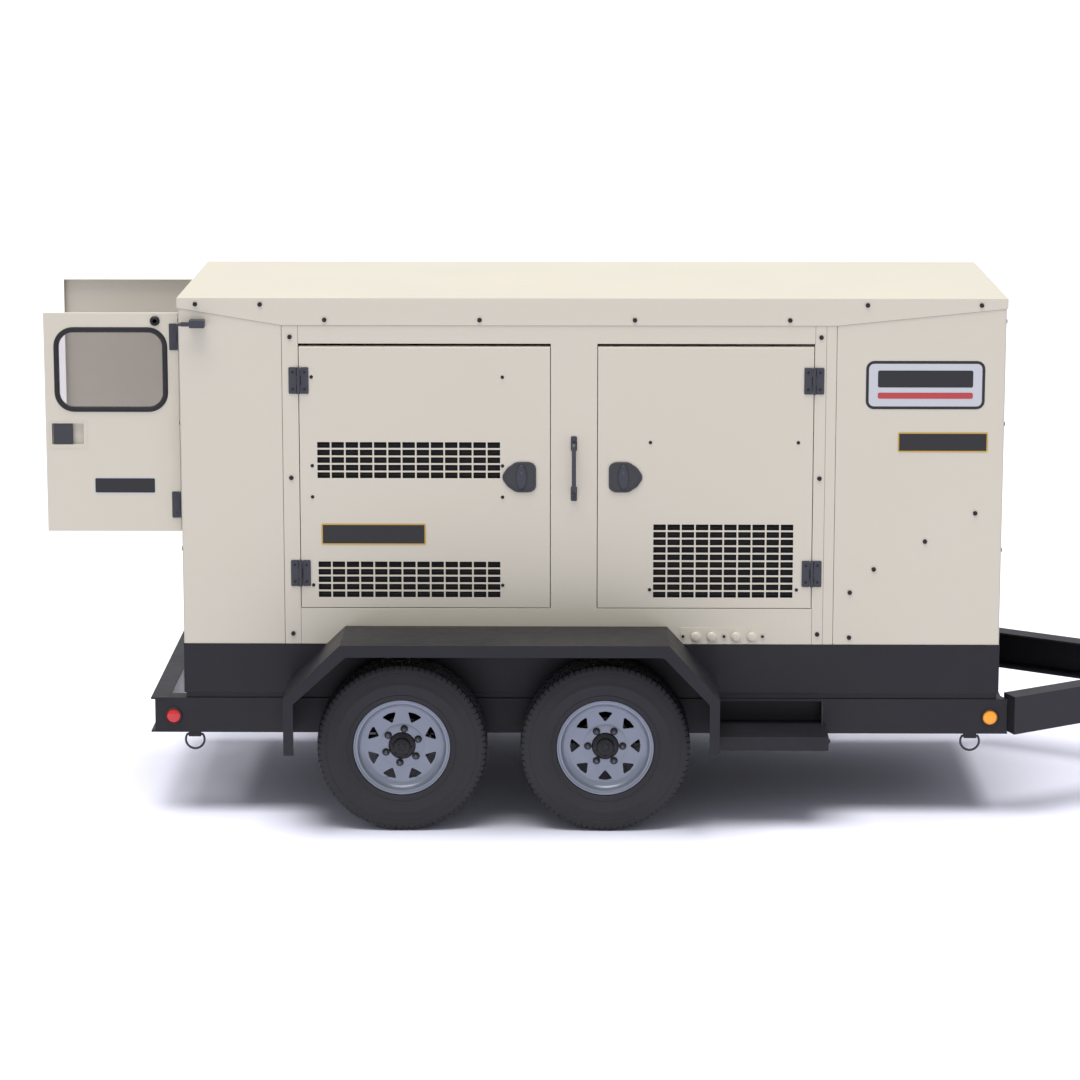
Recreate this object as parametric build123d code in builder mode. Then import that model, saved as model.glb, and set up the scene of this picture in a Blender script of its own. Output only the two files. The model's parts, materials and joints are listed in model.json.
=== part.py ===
"""Towable diesel generator set: a sound-attenuated canopy on a tandem-axle trailer.

Millimetres, +X towards the tow eye, +Y to the left-hand side, +Z up, ground at Z = 0.
The right-hand side is -Y.  The rear doors are modelled open at a right angle.
"""
from build123d import *
import math
import os

os.makedirs("parts", exist_ok=True)

# ---------------------------------------------------------------- driving dimensions
canopy_length = 3488.0
canopy_width = 1344.0
canopy_mid_x = -295.0
roof_z = 2233.0
canopy_bottom_z = 749.0
skirt_bottom_z = 2118.5
skirt_end_z = 2191.5
roof_sheet = 3.0
sheet = 3.0
end_inset = 6.0
seam = 1.5

rail_top_z = 512.0
rail_height = 152.0
rail_flange = 84.0
rail_web = 7.0
rail_plate = 8.0
rail_rear_run = 124.0
rear_member_rear_run = 142.0
rear_member_width = 82.0
rail_front_run = 39.0

tongue_height = 164.0
tongue_bottom_z = 370.0
tongue_flange = 100.0
tongue_web = 8.0
tongue_end_plate = 10.0
tongue_start_out = 57.0
tongue_start_run = 61.0
tongue_slope = 0.6745
tongue_end_slope = 0.38
tongue_nose_half = 64.0
nose_plate = 20.0
eye_bore_r = 38.1
eye_ring_r = 79.0
eye_height = 41.0
eye_round = 13.0
eye_reach = 92.0

tyre_diameter = 719.0
tyre_width = 225.0
tyre_bore_r = 190.5
tyre_wall = 12.0
tyre_tread = 20.0
rim_flange_r = 205.0
rim_width = 178.0
rim_wall = 7.0
rim_disc_inset = 40.0
rim_disc = 8.0
rim_window_count = 8
rim_window_inner_r = 100.0
rim_window_outer_r = 148.0
wheel_gap = 60.0
axle_mid_run = 370.0
axle_spacing = 859.0
axle_tube_r = 38.0
axle_drop = 100.0
spindle_r = 22.0
running_gap = 0.08
lug_circle_r = 69.85
lug_count = 6
hub_cap_r = 44.0
hub_drum_r = 115.0
hub_drum_depth = 100.0

spring_eye_span = 641.0
spring_width = 45.0
spring_leaf = 8.0
spring_leaves = 4
hanger_plate = 6.0

fender_width = 383.0
fender_top_z = 827.5
fender_lip = 52.0
fender_sheet = 5.0
fender_top_front_run = 693.0
fender_top_rear_run = 678.0
fender_front_slope_run = 214.0
fender_rear_slope_run = 242.0
fender_slope_drop = 232.0
fender_leg_bottom_z = 354.0
fender_leg_width = 43.0

step_width = 450.0
step_depth = 305.0
step_top_z = 395.0
step_lip = 55.0
step_sheet = 5.0
step_notch_top_z = 500.0

door_bottom_z = 908.0
door_top_z = 2038.0
door_gap = 3.0
door_depth = 28.0
rear_bay_run = 507.0
rear_bay_length = 1064.0
bay_post = 196.0
front_bay_length = 914.0
frame_rear_run = 439.0
frame_front_margin = 91.5
jamb_depth = 36.0

slot_width = 53.0
slot_height = 25.0
slot_pitch_x = 60.0
slot_pitch_z = 32.4
slot_columns = 13
slot_rows = 5
front_slot_columns = 10
front_slot_rows = 10
slot_edge_run = 68.5
slot_upper_z = 1544.0
slot_lower_z = 1029.5
front_slot_z = 1111.0
front_slot_run = 236.0

hinge_height = 113.0
hinge_leaf_width = 34.0
hinge_leaf = 4.0
hinge_barrel_r = 7.0
hinge_pin_r = 3.0
hinge_upper_z = 1884.0
hinge_lower_z = 1057.0
hinge_knuckle_gap = 0.4

latch_width = 142.0
latch_height = 130.0
latch_plate = 6.0
latch_z = 1472.5
latch_edge_runs = {"rear": 130.0, "front": 117.5}
latch_shaft_run = 9.5
paddle_width = 46.0
paddle_height = 105.0
paddle_thickness = 8.0
latch_shaft_r = 6.0
latch_cam_length = 92.0

rear_opening_half = 615.0
rear_door_bottom_z = 1225.0
rear_door_top_z = 2160.5
rear_opening_margin = 5.0
rear_door_right_width = 569.0
rear_door_meeting_gap = 4.0
rear_door_depth = 25.0
rear_hinge_barrel_r = 6.0
rear_hinge_leaf = 3.0
rear_hinge_edge = 3.0
rear_hinge_upper_z = 2060.0
rear_hinge_lower_z = 1340.5
window_run = 46.0
window_width = 482.0
window_height = 362.0
window_mid_z = 1920.0
window_corner_r = 84.0
window_seal = 23.0
seal_depth = 12.0
glass_thickness = 5.0
socket_run = 100.0
socket_z = 2127.5
socket_r = 21.0
rear_latch_run = 74.5
rear_latch_width = 81.0
rear_latch_height = 88.0
rear_latch_reach = 46.0
rear_latch_z = 1644.5
rear_latch_pin_r = 4.0
rear_latch_pin_run = 7.0

marker_r = 38.0
marker_z = 432.0
marker_front_x_run = 37.0
marker_rear_x_run = 45.0
tail_lamp_r = 46.0
tail_lamp_wall = 3.0
tail_lamp_inset = 60.0
tail_lamp_z = 436.0
tail_lamp_proud = 8.0

ring_bar_r = 4.8
ring_mean_r = 40.0
ring_front_run = 120.0
ring_rear_run = 44.0
ring_bracket_width = 54.0
ring_bracket_height = 20.0
ring_pin_z_drop = 12.0

gland_strip_run = 357.0
gland_strip_length = 361.0
gland_strip_height = 70.0
gland_runs = (66.0, 134.0, 237.0, 305.0)
gland_screw_runs = (11.0, 186.0, 350.0)
gland_r = 21.0

handle_bottom_z = 1370.5
handle_top_z = 1648.0
handle_pad_height = 63.0
handle_pad_width = 26.0
handle_bar_width = 18.0
handle_reach = 46.0
handle_bar = 10.0

jack_run = 675.0
jack_tube_r = 38.0
jack_tube_wall = 5.0
jack_tube_bottom_z = 400.0
jack_tube_top_z = 1060.0
jack_plate = 12.0
jack_travel = 330.0
jack_leg_top_z = 650.0
jack_foot = 160.0
jack_foot_plate = 12.0
crank_z = 1025.0
crank_length = 170.0
crank_shaft_r = 9.0

engine_mid_run = 455.0
engine_length = 820.0
engine_width = 520.0
engine_bottom_z = 790.0
engine_top_z = 1420.0
alternator_length = 640.0
alternator_r = 285.0
crankshaft_z = 1090.0
engine_wall = 30.0
nose_length = 40.0
stator_wall = 32.0
fan_r = 330.0
fan_hub_r = 70.0
fan_blades = 6
fan_depth = 60.0
fan_gap = 30.0
fan_shaft_r = 20.0
fan_pitch = 28.0
radiator_thickness = 110.0
radiator_side_gap = 169.0
radiator_core = 24.0
radiator_top_z = 1620.0
muffler_r = 120.0
muffler_length = 900.0
muffler_z = 1860.0
muffler_y = 267.0

cabinet_rear_inset = 190.0
cabinet_depth = 260.0
cabinet_side_gap = 79.0
estop_head_r = 20.0
estop_travel = 6.0
breaker_z = 1450.0
breaker_pin_r = 4.0
estop_z = 1790.0
estop_shaft_r = 11.0

screw_r = 9.5
screw_head = 5.0

# ---------------------------------------------------------------- derived places
half_width = canopy_width / 2
body_half = half_width - roof_sheet
canopy_rear_x = canopy_mid_x - canopy_length / 2
canopy_front_x = canopy_mid_x + canopy_length / 2
rear_face_x = canopy_rear_x + end_inset
front_face_x = canopy_front_x - end_inset
rail_bottom_z = rail_top_z - rail_height
rail_inner = half_width - rail_flange
wheel_z = tyre_diameter / 2
wheel_inner = half_width + wheel_gap
wheel_outer = wheel_inner + tyre_width
axle_mid_x = canopy_mid_x - axle_mid_run
axle_xs = {"rear": axle_mid_x - axle_spacing / 2, "front": axle_mid_x + axle_spacing / 2}
axle_beam_z = wheel_z - axle_drop
spring_y = (half_width + rail_inner) / 2
rear_bay = (canopy_rear_x + rear_bay_run, canopy_rear_x + rear_bay_run + rear_bay_length)
front_bay = (rear_bay[1] + bay_post, rear_bay[1] + bay_post + front_bay_length)
frame_span = (canopy_rear_x + frame_rear_run, front_bay[1] + frame_front_margin)
tongue_start = (canopy_front_x + tongue_start_run, half_width + tongue_start_out)
tongue_nose_x = tongue_start[0] + (tongue_start[1] - tongue_nose_half) / tongue_slope
tongue_top_z = tongue_bottom_z + tongue_height
eye_x = tongue_nose_x + nose_plate + eye_reach
eye_z = tongue_bottom_z + tongue_height / 2
jack_x = tongue_start[0] + jack_run
marker_rear_x = canopy_rear_x - marker_rear_x_run
marker_front_x = canopy_front_x - marker_front_x_run
lamp_face_x = canopy_rear_x - rail_rear_run + tail_lamp_proud
ring_xs = (canopy_rear_x + ring_rear_run, canopy_front_x - ring_front_run)
ring_pin_z = rail_bottom_z - ring_pin_z_drop
fender_front_x = axle_mid_x + fender_top_front_run + fender_front_slope_run
step_span = (fender_front_x + 4, fender_front_x + 4 + step_width)
spring_seat_z = axle_beam_z + axle_tube_r + 2
spring_eye_z = spring_seat_z + spring_leaves * spring_leaf + 8
cabinet_half_width = body_half - cabinet_side_gap
radiator_half_width = body_half - radiator_side_gap
shell_top_z = roof_z - roof_sheet - 3
SIDES = {"right": -1, "left": 1}


# ---------------------------------------------------------------- shape helpers
def prism_z(points, z, mode=Mode.ADD):
    """Add or cut a plan outline between two heights."""
    with BuildSketch(Plane.XY.offset(z[0])) as face:
        with BuildLine():
            Polyline(*points, close=True)
        make_face()
    extrude(face.sketch, amount=z[1] - z[0], mode=mode)


def prism_y(points, y, mode=Mode.ADD):
    """Add or cut a side outline (x, z) between two places across."""
    with BuildSketch(Plane.XZ.offset(-y[1])) as face:
        with BuildLine():
            Polyline(*points, close=True)
        make_face()
    extrude(face.sketch, amount=y[1] - y[0], mode=mode)


def prism_x(points, x, mode=Mode.ADD):
    """Add or cut an end outline (y, z) between two places along."""
    with BuildSketch(Plane.YZ.offset(x[0])) as face:
        with BuildLine():
            Polyline(*points, close=True)
        make_face()
    extrude(face.sketch, amount=x[1] - x[0], mode=mode)


def block(x, y, z, mode=Mode.ADD):
    """Add or cut a block between two limits on each axis."""
    prism_z([(x[0], y[0]), (x[1], y[0]), (x[1], y[1]), (x[0], y[1])], z, mode)


def rod_z(x, y, z, radius, mode=Mode.ADD):
    """Add or cut an upright cylinder."""
    with BuildSketch(Plane.XY.offset(z[0])) as face:
        with Locations((x, y)):
            Circle(radius)
    extrude(face.sketch, amount=z[1] - z[0], mode=mode)


def rod_y(x, z, y, radius, mode=Mode.ADD):
    """Add or cut a cylinder that lies across."""
    with BuildSketch(Plane.XZ.offset(-y[1])) as face:
        with Locations((x, z)):
            Circle(radius)
    extrude(face.sketch, amount=y[1] - y[0], mode=mode)


def rod_x(y, z, x, radius, mode=Mode.ADD):
    """Add or cut a cylinder that lies along."""
    with BuildSketch(Plane.YZ.offset(x[0])) as face:
        with Locations((y, z)):
            Circle(radius)
    extrude(face.sketch, amount=x[1] - x[0], mode=mode)


def across(sign, inner, outer):
    """The two Y limits of a piece on one side, from distances off the centre-line."""
    return (min(sign * inner, sign * outer), max(sign * inner, sign * outer))


def group(*parts):
    """Gather separate solids that share one node, without joining them."""
    return Compound([solid for part in parts for solid in part.solids()])


def save(part, name):
    """Label a finished piece and write its STEP file."""
    part.label = name
    export_step(part, f"parts/{name}.step")


# ---------------------------------------------------------------- trailer frame
def rail(sign):
    """One side rail: a channel with its web outside, its D-ring brackets welded below."""
    flange_rear = canopy_rear_x - rear_member_rear_run + rear_member_width
    cut_x = tongue_start[0] - tongue_end_slope * tongue_start_out
    inner_cut_x = cut_x - tongue_end_slope * rail_flange
    flange = [
        (flange_rear, sign * half_width),
        (cut_x, sign * half_width),
        (inner_cut_x, sign * rail_inner),
        (flange_rear, sign * rail_inner),
    ]
    web_y = across(sign, half_width - rail_web, half_width)
    web_front_x = cut_x - tongue_end_slope * rail_web
    inside_z = (rail_bottom_z + rail_plate, rail_top_z - rail_plate)
    with BuildPart() as channel:
        prism_z(flange, (inside_z[1], rail_top_z))
        prism_z(flange, (rail_bottom_z, inside_z[0]))
        block((flange_rear, web_front_x), web_y, inside_z)
        block((canopy_rear_x - rail_rear_run, flange_rear), web_y, inside_z)
        block(step_span, web_y, (step_top_z, step_notch_top_z), Mode.SUBTRACT)
        for x in ring_xs:
            bracket_x = (x - ring_bracket_width / 2, x + ring_bracket_width / 2)
            bracket_y = across(sign, half_width - 26, half_width - 2)
            block(bracket_x, bracket_y, (rail_bottom_z - ring_bracket_height, rail_bottom_z))
            slot = ring_bar_r + running_gap
            rod_x(sign * (half_width - 14), ring_pin_z, bracket_x, slot, Mode.SUBTRACT)
        for x in (marker_rear_x, marker_front_x):
            rod_y(x, marker_z, web_y, marker_r - 6, Mode.SUBTRACT)
    return channel.part


save(group(rail(-1), rail(1)), "frame_rails")

with BuildPart() as frame_crossmembers:
    # rear member: a channel that opens to the rear, its flanges the full width
    rear_x = canopy_rear_x - rear_member_rear_run
    web_x = rear_x + rear_member_width
    full = (-half_width, half_width)
    inner_full = (-half_width + rail_web, half_width - rail_web)
    block((rear_x, web_x), full, (rail_top_z - rail_plate, rail_top_z))
    block((rear_x, web_x), full, (rail_bottom_z, rail_bottom_z + rail_plate))
    inside_z = (rail_bottom_z + rail_plate, rail_top_z - rail_plate)
    block((web_x - rail_web, web_x), inner_full, inside_z)
    for y in (-half_width + tail_lamp_inset, half_width - tail_lamp_inset):
        rod_x(y, tail_lamp_z, (lamp_face_x, web_x - rail_web), tail_lamp_r)
        lamp_bore_r = tail_lamp_r - tail_lamp_wall
        rod_x(y, tail_lamp_z, (lamp_face_x, web_x), lamp_bore_r, Mode.SUBTRACT)
    # plain members between the rail webs
    member_z = (rail_bottom_z + rail_plate + 6, rail_top_z - rail_plate - 6)
    for run in (0.13, 0.4, 0.62, 0.8):
        x = canopy_rear_x + run * canopy_length
        block((x, x + 6), inner_full, member_z)
        block((x + 6, x + 50), inner_full, (member_z[0], member_z[0] + 6))
        block((x + 6, x + 50), inner_full, (member_z[1] - 6, member_z[1]))
    # front member
    front_x = canopy_front_x + 6
    block((front_x, front_x + 8), (-rail_inner, rail_inner), (rail_bottom_z, rail_top_z))
    lips = (-rail_inner, rail_inner)
    block((front_x - 50, front_x), lips, (rail_top_z - 8, rail_top_z))
    block((front_x - 50, front_x), lips, (rail_bottom_z, rail_bottom_z + 8))
save(frame_crossmembers.part, "frame_crossmembers")


def tongue_beam(sign):
    """One beam of the tongue: a channel, web outside, running in to the nose."""
    norm = math.hypot(1, tongue_slope)
    outer_start = tongue_start
    outer_end = (tongue_nose_x, tongue_nose_half)

    def inner_start(depth):
        run = depth * norm / (1 + tongue_end_slope * tongue_slope)
        return (outer_start[0] - tongue_end_slope * run, outer_start[1] - run)

    def outline(depth):
        start = inner_start(depth)
        offset = depth * norm
        centre_x = tongue_nose_x - (offset - tongue_nose_half + 1) / tongue_slope
        if offset <= tongue_nose_half:
            tail = [(tongue_nose_x, tongue_nose_half - offset)]
        else:
            tail = [(tongue_nose_x, 1.0), (centre_x, 1.0)]
        points = [outer_start, outer_end] + tail + [start]
        return [(x, sign * y) for x, y in points]

    with BuildPart() as beam:
        prism_z(outline(tongue_flange), (tongue_top_z - 8, tongue_top_z))
        prism_z(outline(tongue_flange), (tongue_bottom_z, tongue_bottom_z + 8))
        prism_z(outline(tongue_web), (tongue_bottom_z + 8, tongue_top_z - 8))
        plate_x = tongue_end_plate / norm
        plate_start = [outer_start, inner_start(tongue_flange)]
        plate_end = [(x + plate_x, y - tongue_slope * plate_x) for x, y in reversed(plate_start)]
        plate = [(x, sign * y) for x, y in plate_start + plate_end]
        prism_z(plate, (tongue_bottom_z + 8, tongue_top_z - 8))
    return beam.part


save(group(tongue_beam(-1), tongue_beam(1)), "tongue_beams")

with BuildPart() as tow_eye:
    plate_z = (tongue_bottom_z + 6, tongue_top_z - 6)
    plate_y = (-tongue_nose_half, tongue_nose_half)
    block((tongue_nose_x, tongue_nose_x + nose_plate), plate_y, plate_z)
    rod_z(eye_x, 0, (eye_z - eye_height / 2, eye_z + eye_height / 2), eye_ring_r)
    shank_x = (tongue_nose_x + nose_plate, eye_x - eye_bore_r - 12)
    block(shank_x, (-34, 34), (eye_z - eye_height / 2, eye_z + eye_height / 2))
    rod_z(eye_x, 0, (eye_z - eye_height, eye_z + eye_height), eye_bore_r, Mode.SUBTRACT)
    ring_edges = tow_eye.edges().filter_by(GeomType.CIRCLE)
    fillet([e for e in ring_edges if abs(e.radius - eye_bore_r) < 0.5], radius=eye_round)
    for y in (-46, 46):
        for z in (eye_z - 48, eye_z + 48):
            bolt_x = (tongue_nose_x + nose_plate, tongue_nose_x + nose_plate + 12)
            rod_x(y, z, bolt_x, 14)
save(tow_eye.part, "tow_eye")


# ---------------------------------------------------------------- jack on the tongue
jack_half = tongue_start[1] - tongue_slope * jack_run
with BuildPart() as jack_tube:
    rear_half = jack_half + tongue_slope * 70 - 12
    front_half = jack_half - tongue_slope * 70 - 12
    outline = [
        (jack_x - 70, -rear_half),
        (jack_x + 70, -front_half),
        (jack_x + 70, front_half),
        (jack_x - 70, rear_half),
    ]
    prism_z(outline, (tongue_top_z, tongue_top_z + jack_plate))
    rod_z(jack_x, 0, (jack_tube_bottom_z, jack_tube_top_z), jack_tube_r)
    rod_z(jack_x, 0, (tongue_top_z + jack_plate, tongue_top_z + 40), jack_tube_r + 12)
    bore_r = jack_tube_r - jack_tube_wall
    rod_z(jack_x, 0, (jack_tube_bottom_z, jack_tube_top_z - 6), bore_r, Mode.SUBTRACT)
    gearbox_y = (-jack_tube_r - 22, -jack_tube_r + 2)
    block((jack_x - 26, jack_x + 26), gearbox_y, (crank_z - 28, crank_z + 28))
    bore_y = (-jack_tube_r - 30, 0)
    rod_y(jack_x, crank_z, bore_y, crank_shaft_r + running_gap, Mode.SUBTRACT)
    grease_y = (jack_tube_r - 2, jack_tube_r + 5)
    rod_y(jack_x, crank_z - 60, grease_y, 4)
save(jack_tube.part, "jack_tube")

with BuildPart() as jack_leg:
    leg_r = jack_tube_r - jack_tube_wall - running_gap
    rod_z(jack_x, 0, (jack_foot_plate, jack_leg_top_z), leg_r)
    rod_z(jack_x, 0, (jack_foot_plate + 30, jack_leg_top_z), leg_r - 7, Mode.SUBTRACT)
    with BuildSketch(Plane.XY) as foot:
        with Locations((jack_x, 0)):
            RectangleRounded(jack_foot, jack_foot, 24)
    extrude(foot.sketch, amount=jack_foot_plate)
    for turn in range(4):
        angle = math.radians(45 + 90 * turn)
        rib = [(leg_r - 4, 0), (leg_r + 40, 0), (leg_r - 4, 60)]
        place = Plane(origin=(jack_x, 0, jack_foot_plate), x_dir=(math.cos(angle), math.sin(angle), 0),
                      z_dir=(math.sin(angle), -math.cos(angle), 0))
        with BuildSketch(place) as web:
            with BuildLine():
                Polyline(*rib, close=True)
            make_face()
        extrude(web.sketch, amount=4, both=True)
save(jack_leg.part, "jack_leg")

with BuildPart() as jack_crank:
    shaft_y = (-jack_tube_r - 46, -jack_tube_r + 8)
    rod_y(jack_x, crank_z, shaft_y, crank_shaft_r)
    arm_y = (-jack_tube_r - 46, -jack_tube_r - 34)
    block((jack_x - 13, jack_x + 13), arm_y, (crank_z - 15, crank_z + crank_length))
    grip_z = crank_z + crank_length - 14
    rod_y(jack_x, grip_z, (-jack_tube_r - 150, -jack_tube_r - 46), 15)
    rod_y(jack_x, grip_z, (-jack_tube_r - 156, -jack_tube_r - 150), 18)
save(jack_crank.part, "jack_crank")


# ---------------------------------------------------------------- running gear
def axle(x):
    """One drop axle: beam, drop plates and spindles, welded."""
    plate_inner = half_width + 14
    plate_outer = plate_inner + 18
    with BuildPart() as beam:
        rod_y(x, axle_beam_z, (-plate_inner, plate_inner), axle_tube_r)
        for sign in (-1, 1):
            plate_y = across(sign, plate_inner, plate_outer)
            plate_z = (axle_beam_z - axle_tube_r - 4, wheel_z + 45)
            block((x - 48, x + 48), plate_y, plate_z)
            spindle_y = across(sign, plate_outer, wheel_outer - 62)
            rod_y(x, wheel_z, spindle_y, spindle_r)
            pad_y = across(sign, spring_y - 40, spring_y + 30)
            block((x - 40, x + 40), pad_y, (axle_beam_z + axle_tube_r - 8, spring_seat_z))
    return beam.part


save(group(*[axle(x) for x in axle_xs.values()]), "axles")


def spring_pack(x, sign):
    """A stack of leaves over the axle, each leaf shorter than the one above it."""
    spring_y_span = across(sign, spring_y - spring_width / 2, spring_y + spring_width / 2)
    half = spring_eye_span / 2
    rise = 14.0
    with BuildPart() as pack:
        for index in range(spring_leaves):
            reach = half * (1 - 0.2 * (spring_leaves - 1 - index))
            low = spring_seat_z + index * spring_leaf
            lift = rise * (reach / half) ** 2
            with BuildSketch(Plane.XZ.offset(-spring_y_span[1])) as leaf:
                with BuildLine():
                    ThreePointArc((x - reach, low + lift), (x, low), (x + reach, low + lift))
                    Line((x + reach, low + lift), (x + reach, low + lift + spring_leaf))
                    ThreePointArc(
                        (x + reach, low + lift + spring_leaf),
                        (x, low + spring_leaf),
                        (x - reach, low + lift + spring_leaf),
                    )
                    Line((x - reach, low + lift + spring_leaf), (x - reach, low + lift))
                make_face()
            extrude(leaf.sketch, amount=spring_width)
        for end in (x - half, x + half):
            eye_y = spring_y_span
            rod_y(end, spring_eye_z, eye_y, 12)
            rod_y(end, spring_eye_z, eye_y, 6, Mode.SUBTRACT)
    return pack.part


def hanger(x, sign):
    """A two-sided hanger under the rail with its bolt."""
    top_z = rail_bottom_z
    with BuildPart() as clevis:
        inner = spring_width / 2 + 1
        for low in (-inner - hanger_plate, inner):
            plate_y = across(sign, spring_y + low, spring_y + low + hanger_plate)
            block((x - 20, x + 20), plate_y, (spring_eye_z - 18, top_z))
        bolt_y = across(sign, spring_y - inner - 12, spring_y + inner + 12)
        rod_y(x, spring_eye_z, bolt_y, 5.9)
    return clevis.part


spring_pieces = []
for side_sign in SIDES.values():
    for x in axle_xs.values():
        spring_pieces.append(spring_pack(x, side_sign))
        for end in (x - spring_eye_span / 2, x + spring_eye_span / 2):
            spring_pieces.append(hanger(end, side_sign))
save(group(*spring_pieces), "leaf_springs")


def tyre(x, sign):
    """A tyre: rounded shoulders, beads inside the rim's flanges, hollow carcass."""
    radius = tyre_diameter / 2
    half = tyre_width / 2
    bead = rim_width / 2 - rim_wall
    seat = rim_flange_r + 1
    middle = sign * (wheel_inner + half)
    with BuildPart() as rubber:
        with BuildSketch(Plane.XY) as section:
            with BuildLine():
                tread = Line((radius, -half * 0.72), (radius, half * 0.72))
                shoulder = Line(tread @ 1, (radius - 24, half * 0.95))
                wall = ThreePointArc(shoulder @ 1, (radius * 0.8, half), (seat, half * 0.82))
                Polyline(wall @ 1, (seat, bead), (tyre_bore_r, bead), (tyre_bore_r, -bead), (seat, -bead),
                         (seat, -half * 0.82))
                low_seat = (seat, -half * 0.82)
                low_shoulder = (radius - 24, -half * 0.95)
                ThreePointArc(low_seat, (radius * 0.8, -half), low_shoulder)
                Line(low_shoulder, tread @ 0)
            make_face()
            with BuildLine():
                Polyline(
                    (tyre_bore_r - 1, -bead + 20),
                    (seat + 20, -bead + 8),
                    (radius * 0.8, -half + tyre_wall),
                    (radius - tyre_tread, -half * 0.78),
                    (radius - tyre_tread, half * 0.78),
                    (radius * 0.8, half - tyre_wall),
                    (seat + 20, bead - 8),
                    (tyre_bore_r - 1, bead - 20),
                    close=True,
                )
            make_face(mode=Mode.SUBTRACT)
        revolve(section.sketch, axis=Axis.Y)
    return rubber.part.moved(Location((x, middle, wheel_z)))


def rim(x, sign, turn):
    """A pressed steel wheel on its hub: barrel, windowed disc, hub, cap and nuts."""
    half = rim_width / 2
    barrel_r = tyre_bore_r
    disc_out = half - rim_disc_inset
    with BuildPart() as wheel:
        with BuildSketch(Plane.XY) as section:
            with BuildLine():
                Polyline(
                    (barrel_r, -half + rim_wall),
                    (barrel_r, half - rim_wall),
                    (rim_flange_r, half - rim_wall),
                    (rim_flange_r, half),
                    (barrel_r - rim_wall, half),
                    (barrel_r - rim_wall, -half),
                    (rim_flange_r, -half),
                    (rim_flange_r, -half + rim_wall),
                    close=True,
                )
            make_face()
        revolve(section.sketch, axis=Axis.Y)
        with BuildSketch(Plane.XZ.offset(disc_out - rim_disc)) as disc:
            Circle(barrel_r - rim_wall + 1)
            Circle(hub_cap_r + 1, mode=Mode.SUBTRACT)
            span = math.pi * rim_window_outer_r / rim_window_count * 0.5
            with PolarLocations(0, rim_window_count, start_angle=turn):
                with BuildLine():
                    Polyline(
                        (rim_window_inner_r, 0),
                        (rim_window_outer_r, -span),
                        (rim_window_outer_r, span),
                        close=True,
                    )
                make_face(mode=Mode.SUBTRACT)
        extrude(disc.sketch, amount=rim_disc)
    with BuildPart() as hub:
        face = -disc_out
        back = tyre_width / 2 - 24
        rod_y(0, 0, (face + rim_disc + 0.4, back), hub_drum_r)
        rod_y(0, 0, (face - 30, face + rim_disc + 0.4), hub_cap_r)
        spindle_hole = spindle_r + running_gap
        hole_end = -tyre_width / 2 + 60
        rod_y(0, 0, (hole_end, back), spindle_hole, Mode.SUBTRACT)
        with BuildSketch(Plane.XZ.offset(-back)) as drum_space:
            Circle(hub_drum_r - 14)
            Circle(spindle_r + 18, mode=Mode.SUBTRACT)
        extrude(drum_space.sketch, amount=hub_drum_depth, mode=Mode.SUBTRACT)
    nuts = []
    for index in range(lug_count):
        angle = 2 * math.pi * index / lug_count + math.radians(turn)
        place = (lug_circle_r * math.cos(angle), lug_circle_r * math.sin(angle))
        with BuildPart() as nut:
            with BuildSketch(Plane.XZ.offset(disc_out)) as hexagon:
                with Locations(place):
                    RegularPolygon(12, 6)
            extrude(hexagon.sketch, amount=20)
        nuts.append(nut.part)
    # the wheel is drawn with its outside towards -Y
    solid = group(wheel.part, hub.part, *nuts)
    if sign > 0:
        solid = solid.mirror(Plane.XZ)
    middle = sign * (wheel_inner + tyre_width / 2)
    return solid.moved(Location((x, middle, wheel_z)))


for side, sign in SIDES.items():
    for place, x in axle_xs.items():
        turn_angle = 0.0 if place == "front" else 22.5
        save(tyre(x, sign), f"tyre_{place}_{side}")
        save(rim(x, sign, turn_angle), f"wheel_{place}_{side}")


def fender(sign):
    """A folded tandem fender: flat top, two slopes, two legs, and a lip down the outside."""
    top = fender_top_z
    front_top = axle_mid_x + fender_top_front_run
    rear_top = axle_mid_x - fender_top_rear_run
    front_low = fender_front_x
    rear_low = rear_top - fender_rear_slope_run
    low = top - fender_slope_drop
    t = fender_sheet
    outer = [(rear_low, fender_leg_bottom_z), (rear_low, low), (rear_top, top), (front_top, top)]
    outer += [(front_low, low), (front_low, fender_leg_bottom_z)]
    k = t * 0.42
    inner = [(front_low - t, fender_leg_bottom_z), (front_low - t, low - k), (front_top - k, top - t)]
    inner += [(rear_top + k, top - t), (rear_low + t, low - k), (rear_low + t, fender_leg_bottom_z)]
    w = fender_leg_width
    j = fender_lip * 0.42
    lip = [(front_low - w, fender_leg_bottom_z), (front_low - w, low - j), (front_top - j, top - fender_lip)]
    lip += [(rear_top + j, top - fender_lip), (rear_low + w, low - j), (rear_low + w, fender_leg_bottom_z)]
    with BuildPart() as guard:
        prism_y(outer + inner, across(sign, half_width, half_width + fender_width))
        outside = half_width + fender_width
        prism_y(outer + lip, across(sign, outside - t, outside))
    return guard.part


save(group(fender(-1), fender(1)), "fenders")


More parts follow.
